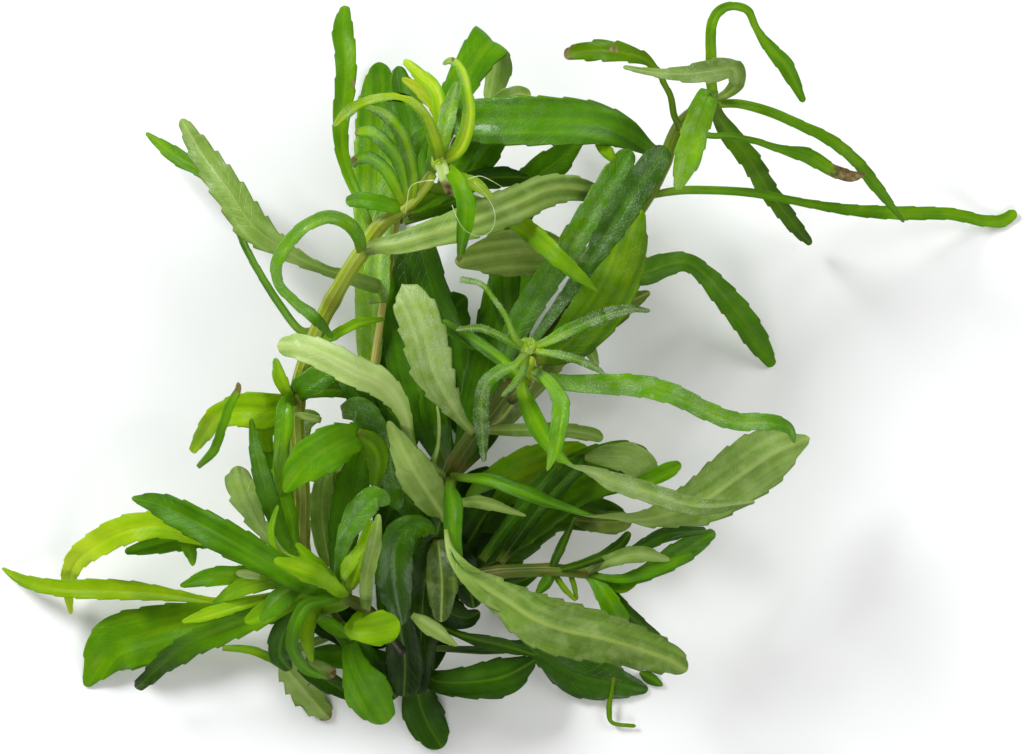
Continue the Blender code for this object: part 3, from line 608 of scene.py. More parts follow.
def leafOffsets(leaf, c, half, run, share):  # how far each point lies beside and above the midrib
    seed = leaf["seed"]
    window = step(share, *blade["toothRun"])
    depth = leaf["toothDepth"] * mm * np.minimum(1, half / (blade["toothHalf"] * mm))
    tall = leaf["wave"] * mm * np.minimum(1, half / (blade["waveHalf"] * mm))
    fold = math.tan(math.radians(leaf["fold"] * blade["foldShare"]))
    beside = np.zeros((len(run), len(c)))
    above = np.zeros_like(beside)
    for j, cj in enumerate(c):
        toothTurn, waveTurn = (turn * (cj > 0) for turn in chance["secondHalf"])
        teeth = np.mod(run / (leaf["toothGap"] * mm) + (seed * chance["teeth"] + toothTurn), 1)
        notch = depth * (1 - teeth) * window * step(abs(cj), blade["toothFrom"], 1.0)
        beside[:, j] = cj * half - math.copysign(1, cj) * notch
        wave = tall * abs(cj) ** blade["wavePower"]
        swing = np.sin(math.tau * run / (blade["waveLength"] * mm) + seed * chance["waves"] + waveTurn)
        above[:, j] = abs(cj) * half * fold + blade["bulge"] * half * math.sin(math.pi * abs(cj))
        above[:, j] += wave * swing * window
    return beside, above


def leafDeadness(leaf, cs, offs, share, length):  # 1 at the dead tip and in the brown spots
    edgy = share[:, None] + blade["deadBow"] * np.abs(cs)[None, :]
    low, high = blade["deadEdge"]
    deadness = step(edgy, leaf["dead"] + low, leaf["dead"] + high)
    for place, off, reach in leaf["spots"]:  # share of the length, mm to the side, mm across
        apart = np.hypot((share[:, None] - place) * length / mm, offs / mm - off)
        deadness = np.maximum(deadness, 1 - step(apart, reach * blade["spotRim"], reach))
    return deadness


def leafShape(leaf):  # points, faces, face paints and the numbers that the shaders read
    leaf = {**usual, **leaf}
    rows, half, run, length = leafRows(leaf)
    share = run / length
    side, face = framesOf(rows, run, leaf["turn"], leaf["doubled"])
    m = blade["across"]
    x = np.linspace(-1, 1, m + 1)
    bowed, even = blade["crowding"]
    c = bowed * np.sin(x * math.pi / 2) + even * x
    beside, above = leafOffsets(leaf, c, half, run, share)
    middle = rows[:, None, :3] + side[:, None, :] * beside[..., None] + face[:, None, :] * above[..., None]
    for i in range(len(run)):
        for j in range(m + 1):
            place = Vector(middle[i, j]) * blade["crumpleScale"] + Vector((leaf["seed"], 0, 0))
            middle[i, j] += (face[i] * noise.noise(place) * (leaf["crumple"] * mm)
                             * min(1.0, half[i] / (blade["crumpleHalf"] * mm)))
    low, high = blade["stalkHalves"]
    stalk = (1 - step(half, low * mm, high * mm)) * (1 - step(share, *blade["stalkRun"]))
    thick = mm * (blade["midThickness"] + stalk * blade["stalkThickness"])
    thick = np.minimum(blade["thickShare"] * half, thick)
    wall = thick[:, None] * np.sqrt(np.clip(1 - c ** 2, 0, 1))[None, :] * 0.5
    near = np.exp(-(beside / (blade["ribWidth"] * mm)) ** 2) * (1 - np.abs(c) ** 4)[None, :]
    low, high = blade["ribHalves"]
    leafy = step(half, low * mm, high * mm)[:, None] * (1 - blade["ribFade"] * share)[:, None]
    upper = middle + face[:, None, :] * (wall - near * leafy * blade["grooveDepth"] * mm)[..., None]
    under = middle - face[:, None, :] * (wall + near * leafy * blade["ribHeight"] * mm)[..., None]
    points = np.concatenate([upper, under[:, m - 1:0:-1]], axis=1).reshape(-1, 3)
    cs = np.concatenate([c, c[m - 1:0:-1]])
    offs = np.concatenate([beside, beside[:, m - 1:0:-1]], axis=1)
    size = len(cs)
    kindUp, kindDown = leafKinds[leaf["kind"]]
    faces, kinds = [], []
    for start in range(0, len(points) - size, size):
        for j in range(size):
            k = (j + 1) % size
            faces.append((start + j, start + k, start + size + k, start + size + j))
            kinds.append(kindUp if j < m else kindDown)
    faces += [tuple(range(size - 1, -1, -1)), tuple(range(len(points) - size, len(points)))]
    kinds += [kindUp, kindUp]
    numbers = {
        # the tone falls towards both margins: painted shade of the leaf's curve
        "tone": (along(share, leaf["tone"])[:, None] - leaf["sides"] * (cs ** 2)[None, :]).reshape(-1),
        "run": np.repeat(share, size),
        "along": np.repeat(run / mm, size),
        "away": (offs / mm).reshape(-1),
        "edge": np.tile(np.abs(cs), len(run)),
        "dead": leafDeadness(leaf, cs, offs, share, length).reshape(-1),
        "frost": np.repeat(along(share, leaf["frost"]), size),
        "seed": np.full(len(points), leaf["seed"] * chance["streaks"]),
    }
    for label in ("warm", "ribWide", "stripes"):
        numbers[label] = np.full(len(points), leaf[label])
    return points, faces, kinds, numbers


def makePiece(name, shapes, nodes):  # one object of one or more shapes
    points = np.concatenate([s[0] for s in shapes])
    points[:, 2] = np.clip(points[:, 2], blade["lowest"] * mm, cadBox[1][2])
    faces, kinds, start = [], [], 0
    for s in shapes:
        faces += [tuple(v + start for v in f) for f in s[1]]
        kinds += s[2]
        start += len(s[0])
    mesh = bpy.data.meshes.new(name)
    mesh.from_pydata(points.tolist(), [], faces)
    used = sorted(set(kinds))
    for kind in used:
        mesh.materials.append(paints[kind])
    mesh.polygons.foreach_set("material_index", [used.index(k) for k in kinds])
    for label in sorted({label for s in shapes for label in s[3]}):
        values = np.concatenate([s[3].get(label, np.zeros(len(s[0]))) for s in shapes])
        mesh.attributes.new(label, "FLOAT", "POINT").data.foreach_set("value", values.astype(np.float32))
    mesh.shade_smooth()
    mesh.update()
    piece = addObject(name, mesh)
    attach(piece, "root")
    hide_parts(*nodes)
    return piece


# stems and bristles, grown by Geometry Nodes

stemForm = {  # lengths in mm
    "ribs": 9,
    "ribDepth": 0.05,
    "around": 36,
    "step": 0.7,
    "knotWidth": 1.8,
    "knotSwell": 0.14,
    "weld": 0.0005,
}
bristles = {
    "Density": 3.2e6,
    "Length": 0.42 * mm,
    "Width": 0.045 * mm,
    "Seed": 7,
    "Skin": paints["bristle"],
}
bristleForm = {
    "corners": 4,
    "lean": ((-0.6, -0.6, -3.0), (0.6, 0.6, 3.0)),
    "size": (0.45, 1.1),
}


def wearSkin(tree, geometry, given, out):  # the last nodes of both groups
    real = addNode(tree, "GeometryNodeRealizeInstances", Geometry=geometry)
    worn = addNode(tree, "GeometryNodeSetMaterial", Geometry=real.outputs[0], Material=given["Skin"])
    tree.links.new(worn.outputs[0], out[0])
    return tree


def makeStemTree():  # a ribbed tube along a path
    tree, given, out = makeGroup("ribbedStem", "GeometryNodeTree", {
        "Path": "Geometry", "Ribs": "Int", "Rib Depth": "Float", "Around": "Int",
        "Skin": "Material"}, {"Stem": "Geometry"})
    circle = addNode(tree, "GeometryNodeCurvePrimitiveCircle", Resolution=given["Around"], Radius=1.0)
    # the ring is pushed in and out by a cosine of its angle
    angle = times(tree, tree.nodes.new("GeometryNodeSplineParameter").outputs["Factor"], math.tau)
    swing = calc(tree, "COSINE", times(tree, angle, given["Ribs"]))
    grow = tree.nodes.new("ShaderNodeVectorMath")
    grow.operation = "SCALE"
    feed(tree, grow.inputs[0], tree.nodes.new("GeometryNodeInputPosition").outputs[0])
    feed(tree, grow.inputs["Scale"], addTimes(tree, 1.0, given["Rib Depth"], swing))
    ring = addNode(tree, "GeometryNodeSetPosition", Geometry=circle.outputs["Curve"],
                   Position=grow.outputs["Vector"])
    ridge = addNode(tree, "GeometryNodeStoreNamedAttribute", Name="ridge", Value=swing,
                    Geometry=ring.outputs["Geometry"])
    tube = addNode(tree, "GeometryNodeCurveToMesh", Curve=given["Path"], Fill_Caps=True,
                   Profile_Curve=ridge.outputs["Geometry"],
                   Scale=tree.nodes.new("GeometryNodeInputRadius").outputs[0])
    return wearSkin(tree, tube.outputs["Mesh"], given, out)


def makeBristleTree():  # short hairs that stand on the frosted skin of a leaf
    tree, given, out = makeGroup("leafBristles", "GeometryNodeTree", {
        "Leaf": "Geometry", "Density": "Float", "Length": "Float", "Width": "Float", "Seed": "Int",
        "Skin": "Material"}, {"Hairs": "Geometry"})
    frost = addNode(tree, "GeometryNodeInputNamedAttribute", Name="frost")
    places = addNode(tree, "GeometryNodeDistributePointsOnFaces", Mesh=given["Leaf"], Seed=given["Seed"],
                     Density=times(tree, frost.outputs["Attribute"], given["Density"]))
    hair = addNode(tree, "GeometryNodeMeshCone", Vertices=bristleForm["corners"], Depth=given["Length"],
                   Radius_Bottom=given["Width"])
    lean = tree.nodes.new("FunctionNodeRandomValue")
    lean.data_type = "FLOAT_VECTOR"
    size = tree.nodes.new("FunctionNodeRandomValue")
    for node, first, limits in ((lean, 0, bristleForm["lean"]), (size, 2, bristleForm["size"])):
        for place, limit in enumerate(limits):
            node.inputs[first + place].default_value = limit
    turned = addNode(tree, "FunctionNodeRotateRotation", Rotation=places.outputs["Rotation"],
                     Rotate_By=lean.outputs["Value"])
    turned.rotation_space = "LOCAL"
    planted = addNode(tree, "GeometryNodeInstanceOnPoints", Points=places.outputs["Points"],
                      Instance=hair.outputs["Mesh"], Rotation=turned.outputs["Rotation"],
                      Scale=size.outputs[1])
    return wearSkin(tree, planted.outputs["Instances"], given, out)


def grown(data, group, values):  # what a group makes of a curve or a mesh, as a plain mesh
    carrier = addObject("carrier", data)
    modifier = carrier.modifiers.new("grown", "NODES")
    modifier.node_group = group
    for item in group.interface.items_tree:
        if item.in_out == "INPUT" and item.name in values:
            modifier[item.identifier] = values[item.name]
    bpy.context.view_layer.update()
    mesh = bpy.data.meshes.new_from_object(carrier.evaluated_get(bpy.context.evaluated_depsgraph_get()))
    bpy.data.objects.remove(carrier, do_unlink=True)
    return mesh


stemTree = makeStemTree()
bristleTree = makeBristleTree()


def stemShape(stem):
    rows = readRoute(stem["route"])
    length = runOf(rows)[-1]
    rows = readAt(rows, np.linspace(0, length, int(length / (stemForm["step"] * mm)) + 2))
    run = np.linspace(0, 1, len(rows))
    knot = np.zeros(len(rows))
    for place in stem["knots"]:
        knot += np.exp(-((run - place) * length / (stemForm["knotWidth"] * mm)) ** 2)
    curve = bpy.data.curves.new("path", "CURVE")
    curve.dimensions = "3D"
    line = curve.splines.new("POLY")
    line.points.add(len(rows) - 1)
    for point, row, swell in zip(line.points, rows, knot):
        point.co = (*row[:3], 1)
        point.radius = row[3] * (1 + stemForm["knotSwell"] * swell) / (1 + stemForm["ribDepth"])
    mesh = grown(curve, stemTree, {
        "Ribs": stemForm["ribs"], "Rib Depth": stemForm["ribDepth"],
        "Around": stem.get("around", stemForm["around"]), "Skin": paints[stem["skin"]]})
    shape = bmesh.new()
    shape.from_mesh(mesh)
    bmesh.ops.remove_doubles(shape, verts=shape.verts, dist=stemForm["weld"] * mm)
    bmesh.ops.recalc_face_normals(shape, faces=shape.faces)
    ridges = shape.verts.layers.float["ridge"]
    points = np.array([v.co[:] for v in shape.verts])
    ridge = np.array([v[ridges] for v in shape.verts])
    faces = [tuple(v.index for v in f.verts) for f in shape.faces]
    shape.free()
    nearest = np.array([np.argmin(((rows[:, :3] - p) ** 2).sum(axis=1)) for p in points])
    return points, faces, [stem["skin"]] * len(faces), {
        "run": run[nearest], "knot": knot[nearest], "ridge": ridge}


def bristleShape(piece):  # the hairs of a finished piece
    mesh = grown(piece.data.copy(), bristleTree, bristles)
    points = np.array([v.co[:] for v in mesh.vertices])
    faces = [tuple(face.vertices) for face in mesh.polygons]
    return points, faces, ["bristle"] * len(faces), {"run": np.zeros(len(points))}


budForm = {
    "rows": 30,
    "columns": 40,
    "poleGap": 0.03,
    "scales": (2, 2.5, 0.7),
    "relief": (0.80, 0.18),
    "edge": (0.3, 0.5),
}
budSkin = {"run": 0.5, "away": 3, "ribWide": 1, "frost": 0.7}


def budShape(place, size, tone):  # a small egg of overlapping scales
    rows, columns, gap = budForm["rows"], budForm["columns"], budForm["poleGap"]
    down = np.repeat(np.linspace(gap, math.pi - gap, rows), columns)
    around = np.tile(np.arange(columns) * math.tau / columns, rows)
    turns, slant, bow = budForm["scales"]
    scales = np.abs(np.sin(around * turns + np.cos(down) * slant)) ** bow
    points = np.stack([np.sin(down) * np.cos(around), np.sin(down) * np.sin(around), np.cos(down)], 1)
    deep, high = budForm["relief"]
    points *= (size * mm / 2 * (deep + high * scales))[:, None]
    points += np.array(spot(*place))
    ring = range(columns)
    last = len(points) - columns
    faces = [(i + j, i + columns + j, i + columns + (j + 1) % columns, i + (j + 1) % columns)
             for i in range(0, last, columns) for j in ring]
    faces += [tuple(ring), tuple(last + j for j in reversed(ring))]
    numbers = {label: np.full(len(points), value) for label, value in {**budSkin, "tone": tone}.items()}
    deep, high = budForm["edge"]
    numbers["edge"] = deep + high * scales
    return points, faces, ["leafYoung"] * len(faces), numbers


print("leaf, stem and bristle makers are ready")


# the leaves, each with its stops: (pixel across, pixel down, height in mm, full width in mm)

topLeftLeaves = {
    "tallLeaf": {"slot": "bright_leaf", "tone": (0.56, 0.58, 0.58, 0.56, 0.52),
        "spots": ((0.66, 2.2, 1.1),), "warm": 0.1, "route": [(374, 236, 47, 1.5), (362, 205, 43, 2),
        (350, 178, 41, 2.6), (342, 150, 41, 3.3), (341, 120, 43, 4), (345, 90, 45, 4.8), (346, 60, 45, 5),
        (343, 30, 43, 4.9), (345, 6, 39, 2)]},
    "slimFarLeaf": {"slot": "mid_leaf", "tone": (0.45, 0.42, 0.42, 0.5, 0.55), "warm": 0.2, "route": [
        (318, 330, 42, 1.8), (300, 330, 38, 1.8), (280, 305, 33, 1.8), (262, 277, 28, 1.8),
        (247, 250, 24, 1.8), (235, 222, 22, 1.8), (222, 197, 20, 2.2), (205, 174, 18, 3.1),
        (175, 155, 14, 4), (146, 133, 8, 0.9)]},
    "broadFarLeaf": {"slot": "pale_leaf", "tone": (0.45, 0.5, 0.48, 0.45, 0.45), "turn": (180,),
        "toothDepth": 0.7, "ribWide": 0.6, "route": [(390, 290, 16, 2.5), (370, 284, 24, 3.4),
        (345, 276, 30, 3), (325, 270, 33, 2.6), (300, 259, 35, 3.7), (280, 247, 36, 5.3),
        (252, 225, 37, 8.2), (230, 193, 36, 7.8), (203, 155, 32, 6.6), (181, 119, 26, 2.4)]},
    "loopLeaf": {"slot": "dark_leaf", "kind": "glossy", "tone": (0.5, 0.56, 0.6, 0.54, 0.46),
        "frost": (0.1, 0.3, 0.4, 0.2), "ribWide": 0.6, "route": [(362, 252, 47, 2.2), (358, 236, 54, 2.9),
        (347, 223, 57, 3.1), (329, 217, 59, 3.1), (307, 225, 60, 3), (289, 242, 59, 3.2),
        (277, 263, 58, 2.9), (279, 284, 56, 2.4), (295, 302, 55, 2.4), (315, 318, 53, 2.9),
        (333, 338, 48, 1)]},
    "crossingLeaf": {"slot": "pale_leaf", "tone": (0.56, 0.56, 0.54, 0.5, 0.44), "turn": (180,),
        "ribWide": 1.5, "stripes": 1.0, "route": [(362, 252, 47, 2.5), (378, 246, 52, 3.5),
        (400, 243, 54, 4.8), (440, 231, 55, 6.6), (480, 218, 55, 8.4), (520, 202, 52, 8.4),
        (550, 190, 47, 7.5), (580, 189, 41, 5.7), (614, 200, 35, 1.8)]},
    "broadBackLeaf": {"slot": "mid_leaf", "kind": "glossy",
        "tone": (0.66, 0.72, 0.72, 0.68, 0.64, 0.56, 0.5), "fold": 5, "frost": (0.6, 0.6, 0.5, 0.1, 0),
        "ribWide": 0.8, "stripes": 0.4, "route": [(374, 372, 15, 3), (370, 355, 10, 5.5),
        (371, 300, 8, 7.5), (373, 250, 5, 9), (376, 200, 3, 10.4), (378, 150, 1.5, 11.2),
        (380, 100, 0.8, 10.2), (379, 62, 3, 4)]},
    "narrowBackLeaf": {"slot": "dark_leaf", "kind": "glossy", "tone": (0.35, 0.4, 0.4), "fold": 8,
        "route": [(398, 222, 15, 2), (420, 180, 13, 4.4), (412, 140, 12, 8), (405, 100, 11, 7.4),
        (398, 66, 10, 2.5)]},
    "foldedLeaf": {"slot": "bright_leaf", "tone": (0.5, 0.5, 0.52, 0.5), "fold": 6, "doubled": True,
        "route": [(428, 180, 51, 2), (437, 150, 44, 4), (446, 120, 37, 6.5), (458, 90, 35, 7.5),
        (474, 62, 33, 8.5), (489, 43, 30.5, 10), (494, 43, 27.5, 10), (497, 58, 25, 9.5), (494, 80, 23, 8),
        (488, 104, 20, 4)]},
    "glossyCrossLeaf": {"slot": "dark_leaf", "kind": "glossy", "tone": (0.36, 0.42, 0.46, 0.46, 0.42),
        "fold": 10, "frost": (0, 0, 0.15, 0.3), "ribWide": 0.4, "stripes": 0.3, "route": [
        (668, 156, 38, 1.6), (650, 149, 37, 3), (622, 132, 42, 7.2), (590, 123, 45, 10),
        (540, 121, 46, 11.2), (500, 121, 45, 11), (472, 122, 43, 9.5), (450, 127, 41, 4)]},
    "yellowTipLeaf": {"slot": "yellow_leaf", "tone": (0.6, 0.62, 0.66, 0.6), "warm": 0.2, "route": [
        (425, 185, 52, 2), (462, 196, 48, 2.2), (500, 212, 45, 3.1), (530, 232, 48, 4.8),
        (555, 255, 54, 4.4), (578, 275, 54, 3.1), (597, 291, 53, 0.6)]},
    "oliveLeaf": {"slot": "olive_leaf", "tone": (0.4, 0.52, 0.54, 0.46), "turn": (180,), "fold": 8,
        "warm": 0.2, "ribWide": 0.8, "stripes": 0.8, "route": [(600, 264, 36, 2), (585, 258, 31, 5),
        (565, 255, 30, 6.6), (540, 252, 30, 10.4), (500, 254, 32, 10.4), (455, 262, 34, 2.5)]},
    "upperBackLeaf": {"slot": "dark_leaf", "tone": (0.3, 0.38, 0.42, 0.42), "fold": 8, "warm": 0.15,
        "ribWide": 0.6, "route": [(530, 358, 32, 2), (512, 330, 27, 4), (505, 290, 25, 7),
        (508, 240, 24, 7.5), (530, 185, 24, 7.9), (558, 160, 25, 7), (582, 138, 27, 2)]},
}
topRightLeaves = {
    "overStemLeaf": {"slot": "bright_leaf", "kind": "glossy", "tone": (0.56, 0.64, 0.62),
        "frost": (0, 0.2, 0.3), "route": [(712, 104, 46, 2.2), (709, 95, 53, 4.4), (703, 108, 54, 6),
        (695, 131, 51, 6.3), (687, 159, 49, 6.3), (677, 190, 46, 1.8)]},
    "leftReachingLeaf": {"slot": "olive_leaf", "tone": (0.5, 0.5, 0.48, 0.42), "warm": 0.6, "dead": 0.975,
        "spots": ((0.72, 0.5, 1.0),), "wave": 0.8, "toothDepth": 0.7, "route": [(680, 128, 41, 1.5),
        (674, 115, 46, 1.5), (671, 98, 50, 1.5), (665, 85, 53, 1.5), (655, 68, 55, 1.8), (640, 57, 57, 3.4),
        (610, 51, 57, 5.2), (590, 51, 55, 4.8), (564, 54, 52, 2.6)]},
    "hookedLeaf": {"slot": "pale_leaf", "kind": "pale", "tone": (0.38, 0.46, 0.38, 0.38), "toothDepth": 0.6,
        "frost": (0, 0.3, 0.6, 0.5), "ribWide": 0.5, "route": [(719, 98, 45, 1.6), (729, 92, 50, 2.4),
        (737, 82, 55, 3.6), (733, 69, 59, 4.8), (712, 71, 62, 5.6), (688, 74, 63, 4.2), (658, 73, 63, 2.2),
        (623, 67, 61, 1)]},
    "tallArchLeaf": {"slot": "mid_leaf", "tone": (0.56, 0.56, 0.52, 0.5), "warm": 0.15, "route": [
        (714, 100, 44, 2.2), (711, 80, 44.5, 2.4), (711, 55, 49, 2.4), (711, 30, 52, 2.4),
        (717, 13, 52, 2.4), (732, 6, 51, 2), (748, 11, 50, 2), (757, 30, 48, 1.8), (770, 48, 46, 3.1),
        (786, 67, 44, 3.9), (804, 102, 40, 1.4)]},
    "upperDroopingLeaf": {"slot": "mid_leaf", "tone": (0.56, 0.54, 0.5, 0.44), "warm": 0.15, "route": [
        (717, 104, 43, 1.8), (740, 104, 47, 2), (770, 112, 49, 2.2), (800, 125, 47, 2.4),
        (830, 140, 43, 2.9), (855, 160, 36, 2.9), (875, 185, 29, 3), (904, 222, 18, 0.8)]},
    "darkDroopingLeaf": {"slot": "dark_leaf", "tone": (0.4, 0.42, 0.38, 0.26), "warm": 0.45,
        "toothDepth": 0.6, "route": [(714, 102, 43, 2), (719, 118, 38, 3.2), (730, 135, 33, 4.6),
        (750, 160, 27, 5.2), (766, 187, 20, 4.8), (782, 209, 15, 4.4), (798, 230, 9, 3.4),
        (811, 244, 4, 1.6)]},
    "brownTippedLeaf": {"slot": "olive_leaf", "tone": (0.52, 0.5, 0.56, 0.6), "dead": 0.83, "crumple": 0.8,
        "warm": 0.1, "route": [(682, 124, 41, 1.4), (707, 135, 43, 1.4), (730, 136, 43, 1.4),
        (755, 141, 42, 1.6), (780, 149, 41, 2), (808, 156, 40, 3.8), (830, 169, 38, 3.1),
        (850, 176, 36, 2.8), (866, 174, 35, 0.6)]},
    "longestLeaf": {"slot": "mid_leaf", "tone": (0.52, 0.5, 0.5, 0.54, 0.6), "warm": 0.1, "route": [
        (650, 196, 38, 1.4), (668, 192, 37, 1.8), (690, 190, 36, 1.9), (730, 191, 33, 1.9),
        (760, 194, 30, 2.1), (800, 202, 26, 2), (850, 210, 19, 2.8), (900, 213, 12, 3.4), (950, 214, 6, 3),
        (985, 221, 2, 2.9), (1004, 220, 0.8, 3.2), (1016, 211, 1.4, 2.4)]},
    "rightArchingLeaf": {"slot": "dark_leaf", "tone": (0.42, 0.44, 0.42, 0.44, 0.42), "warm": 0.1,
        "frost": (0, 0.2, 0), "route": [(600, 264, 34, 2), (622, 272, 30, 5), (645, 272, 27, 6),
        (665, 265, 25, 5.5), (685, 262, 23, 4.6), (701, 271, 20, 4.6), (718, 289, 16, 5.8),
        (740, 315, 11, 6.4), (758, 342, 6, 5.6), (773, 366, 0.9, 2.2)]},
    # the whitish frost on this leaf stands for the bluish sheen on its upper part: painted sheen
    "longDarkLeaf": {"slot": "dark_leaf", "kind": "glossy", "tone": (0.35, 0.4, 0.5, 0.56, 0.52, 0.42),
        "frost": (0, 0.2, 0.5, 0.7, 0.6, 0.1), "ribWide": 0.6, "route": [(510, 384, 33, 2),
        (505, 362, 36, 3.5), (514, 335, 38, 5.5), (532, 302, 39.5, 6.5), (555, 268, 41, 6.5),
        (576, 237, 42, 6.5), (596, 206, 42, 6.4), (613, 179, 42, 6.4), (631, 150, 42, 4.4)]},
    "frontDarkLeaf": {"slot": "dark_leaf", "kind": "glossy", "tone": (0.5, 0.36, 0.22, 0.2, 0.24, 0.28),
        "frost": (0.6, 0.7, 0.3, 0.25, 0.25), "ribWide": 0.6, "route": [(518, 376, 34, 1.8),
        (524, 360, 40, 1.8), (533, 342, 43, 1.8), (550, 318, 46, 2.6), (570, 290, 48, 3.3),
        (590, 262, 49, 4.4), (613, 225, 49, 6.8), (635, 190, 49, 7.4), (655, 162, 48, 6.4),
        (666, 147, 47, 4)]},
    "rightBackLeaf": {"slot": "olive_leaf", "tone": (0.25, 0.36, 0.52, 0.56, 0.48), "fold": 8, "warm": 0.45,
        "frost": (0, 0.1, 0.25), "stripes": 0.2, "route": [(532, 357, 34, 2), (548, 355, 38, 5),
        (575, 337, 41, 10), (603, 300, 42, 12.5), (621, 262, 42, 11), (631, 232, 42, 8),
        (640, 208, 42, 2.5)]},
    "rightBackLeafLow": {"slot": "olive_leaf", "tone": (0.1, 0.15, 0.2), "turn": (180,), "fold": 8,
        "warm": 0.35, "route": [(480, 430, 28, 3), (500, 420, 20, 5), (520, 395, 16, 7),
        (560, 345, 14, 8.8), (610, 312, 13, 8), (650, 292, 12, 1.3)]},
}
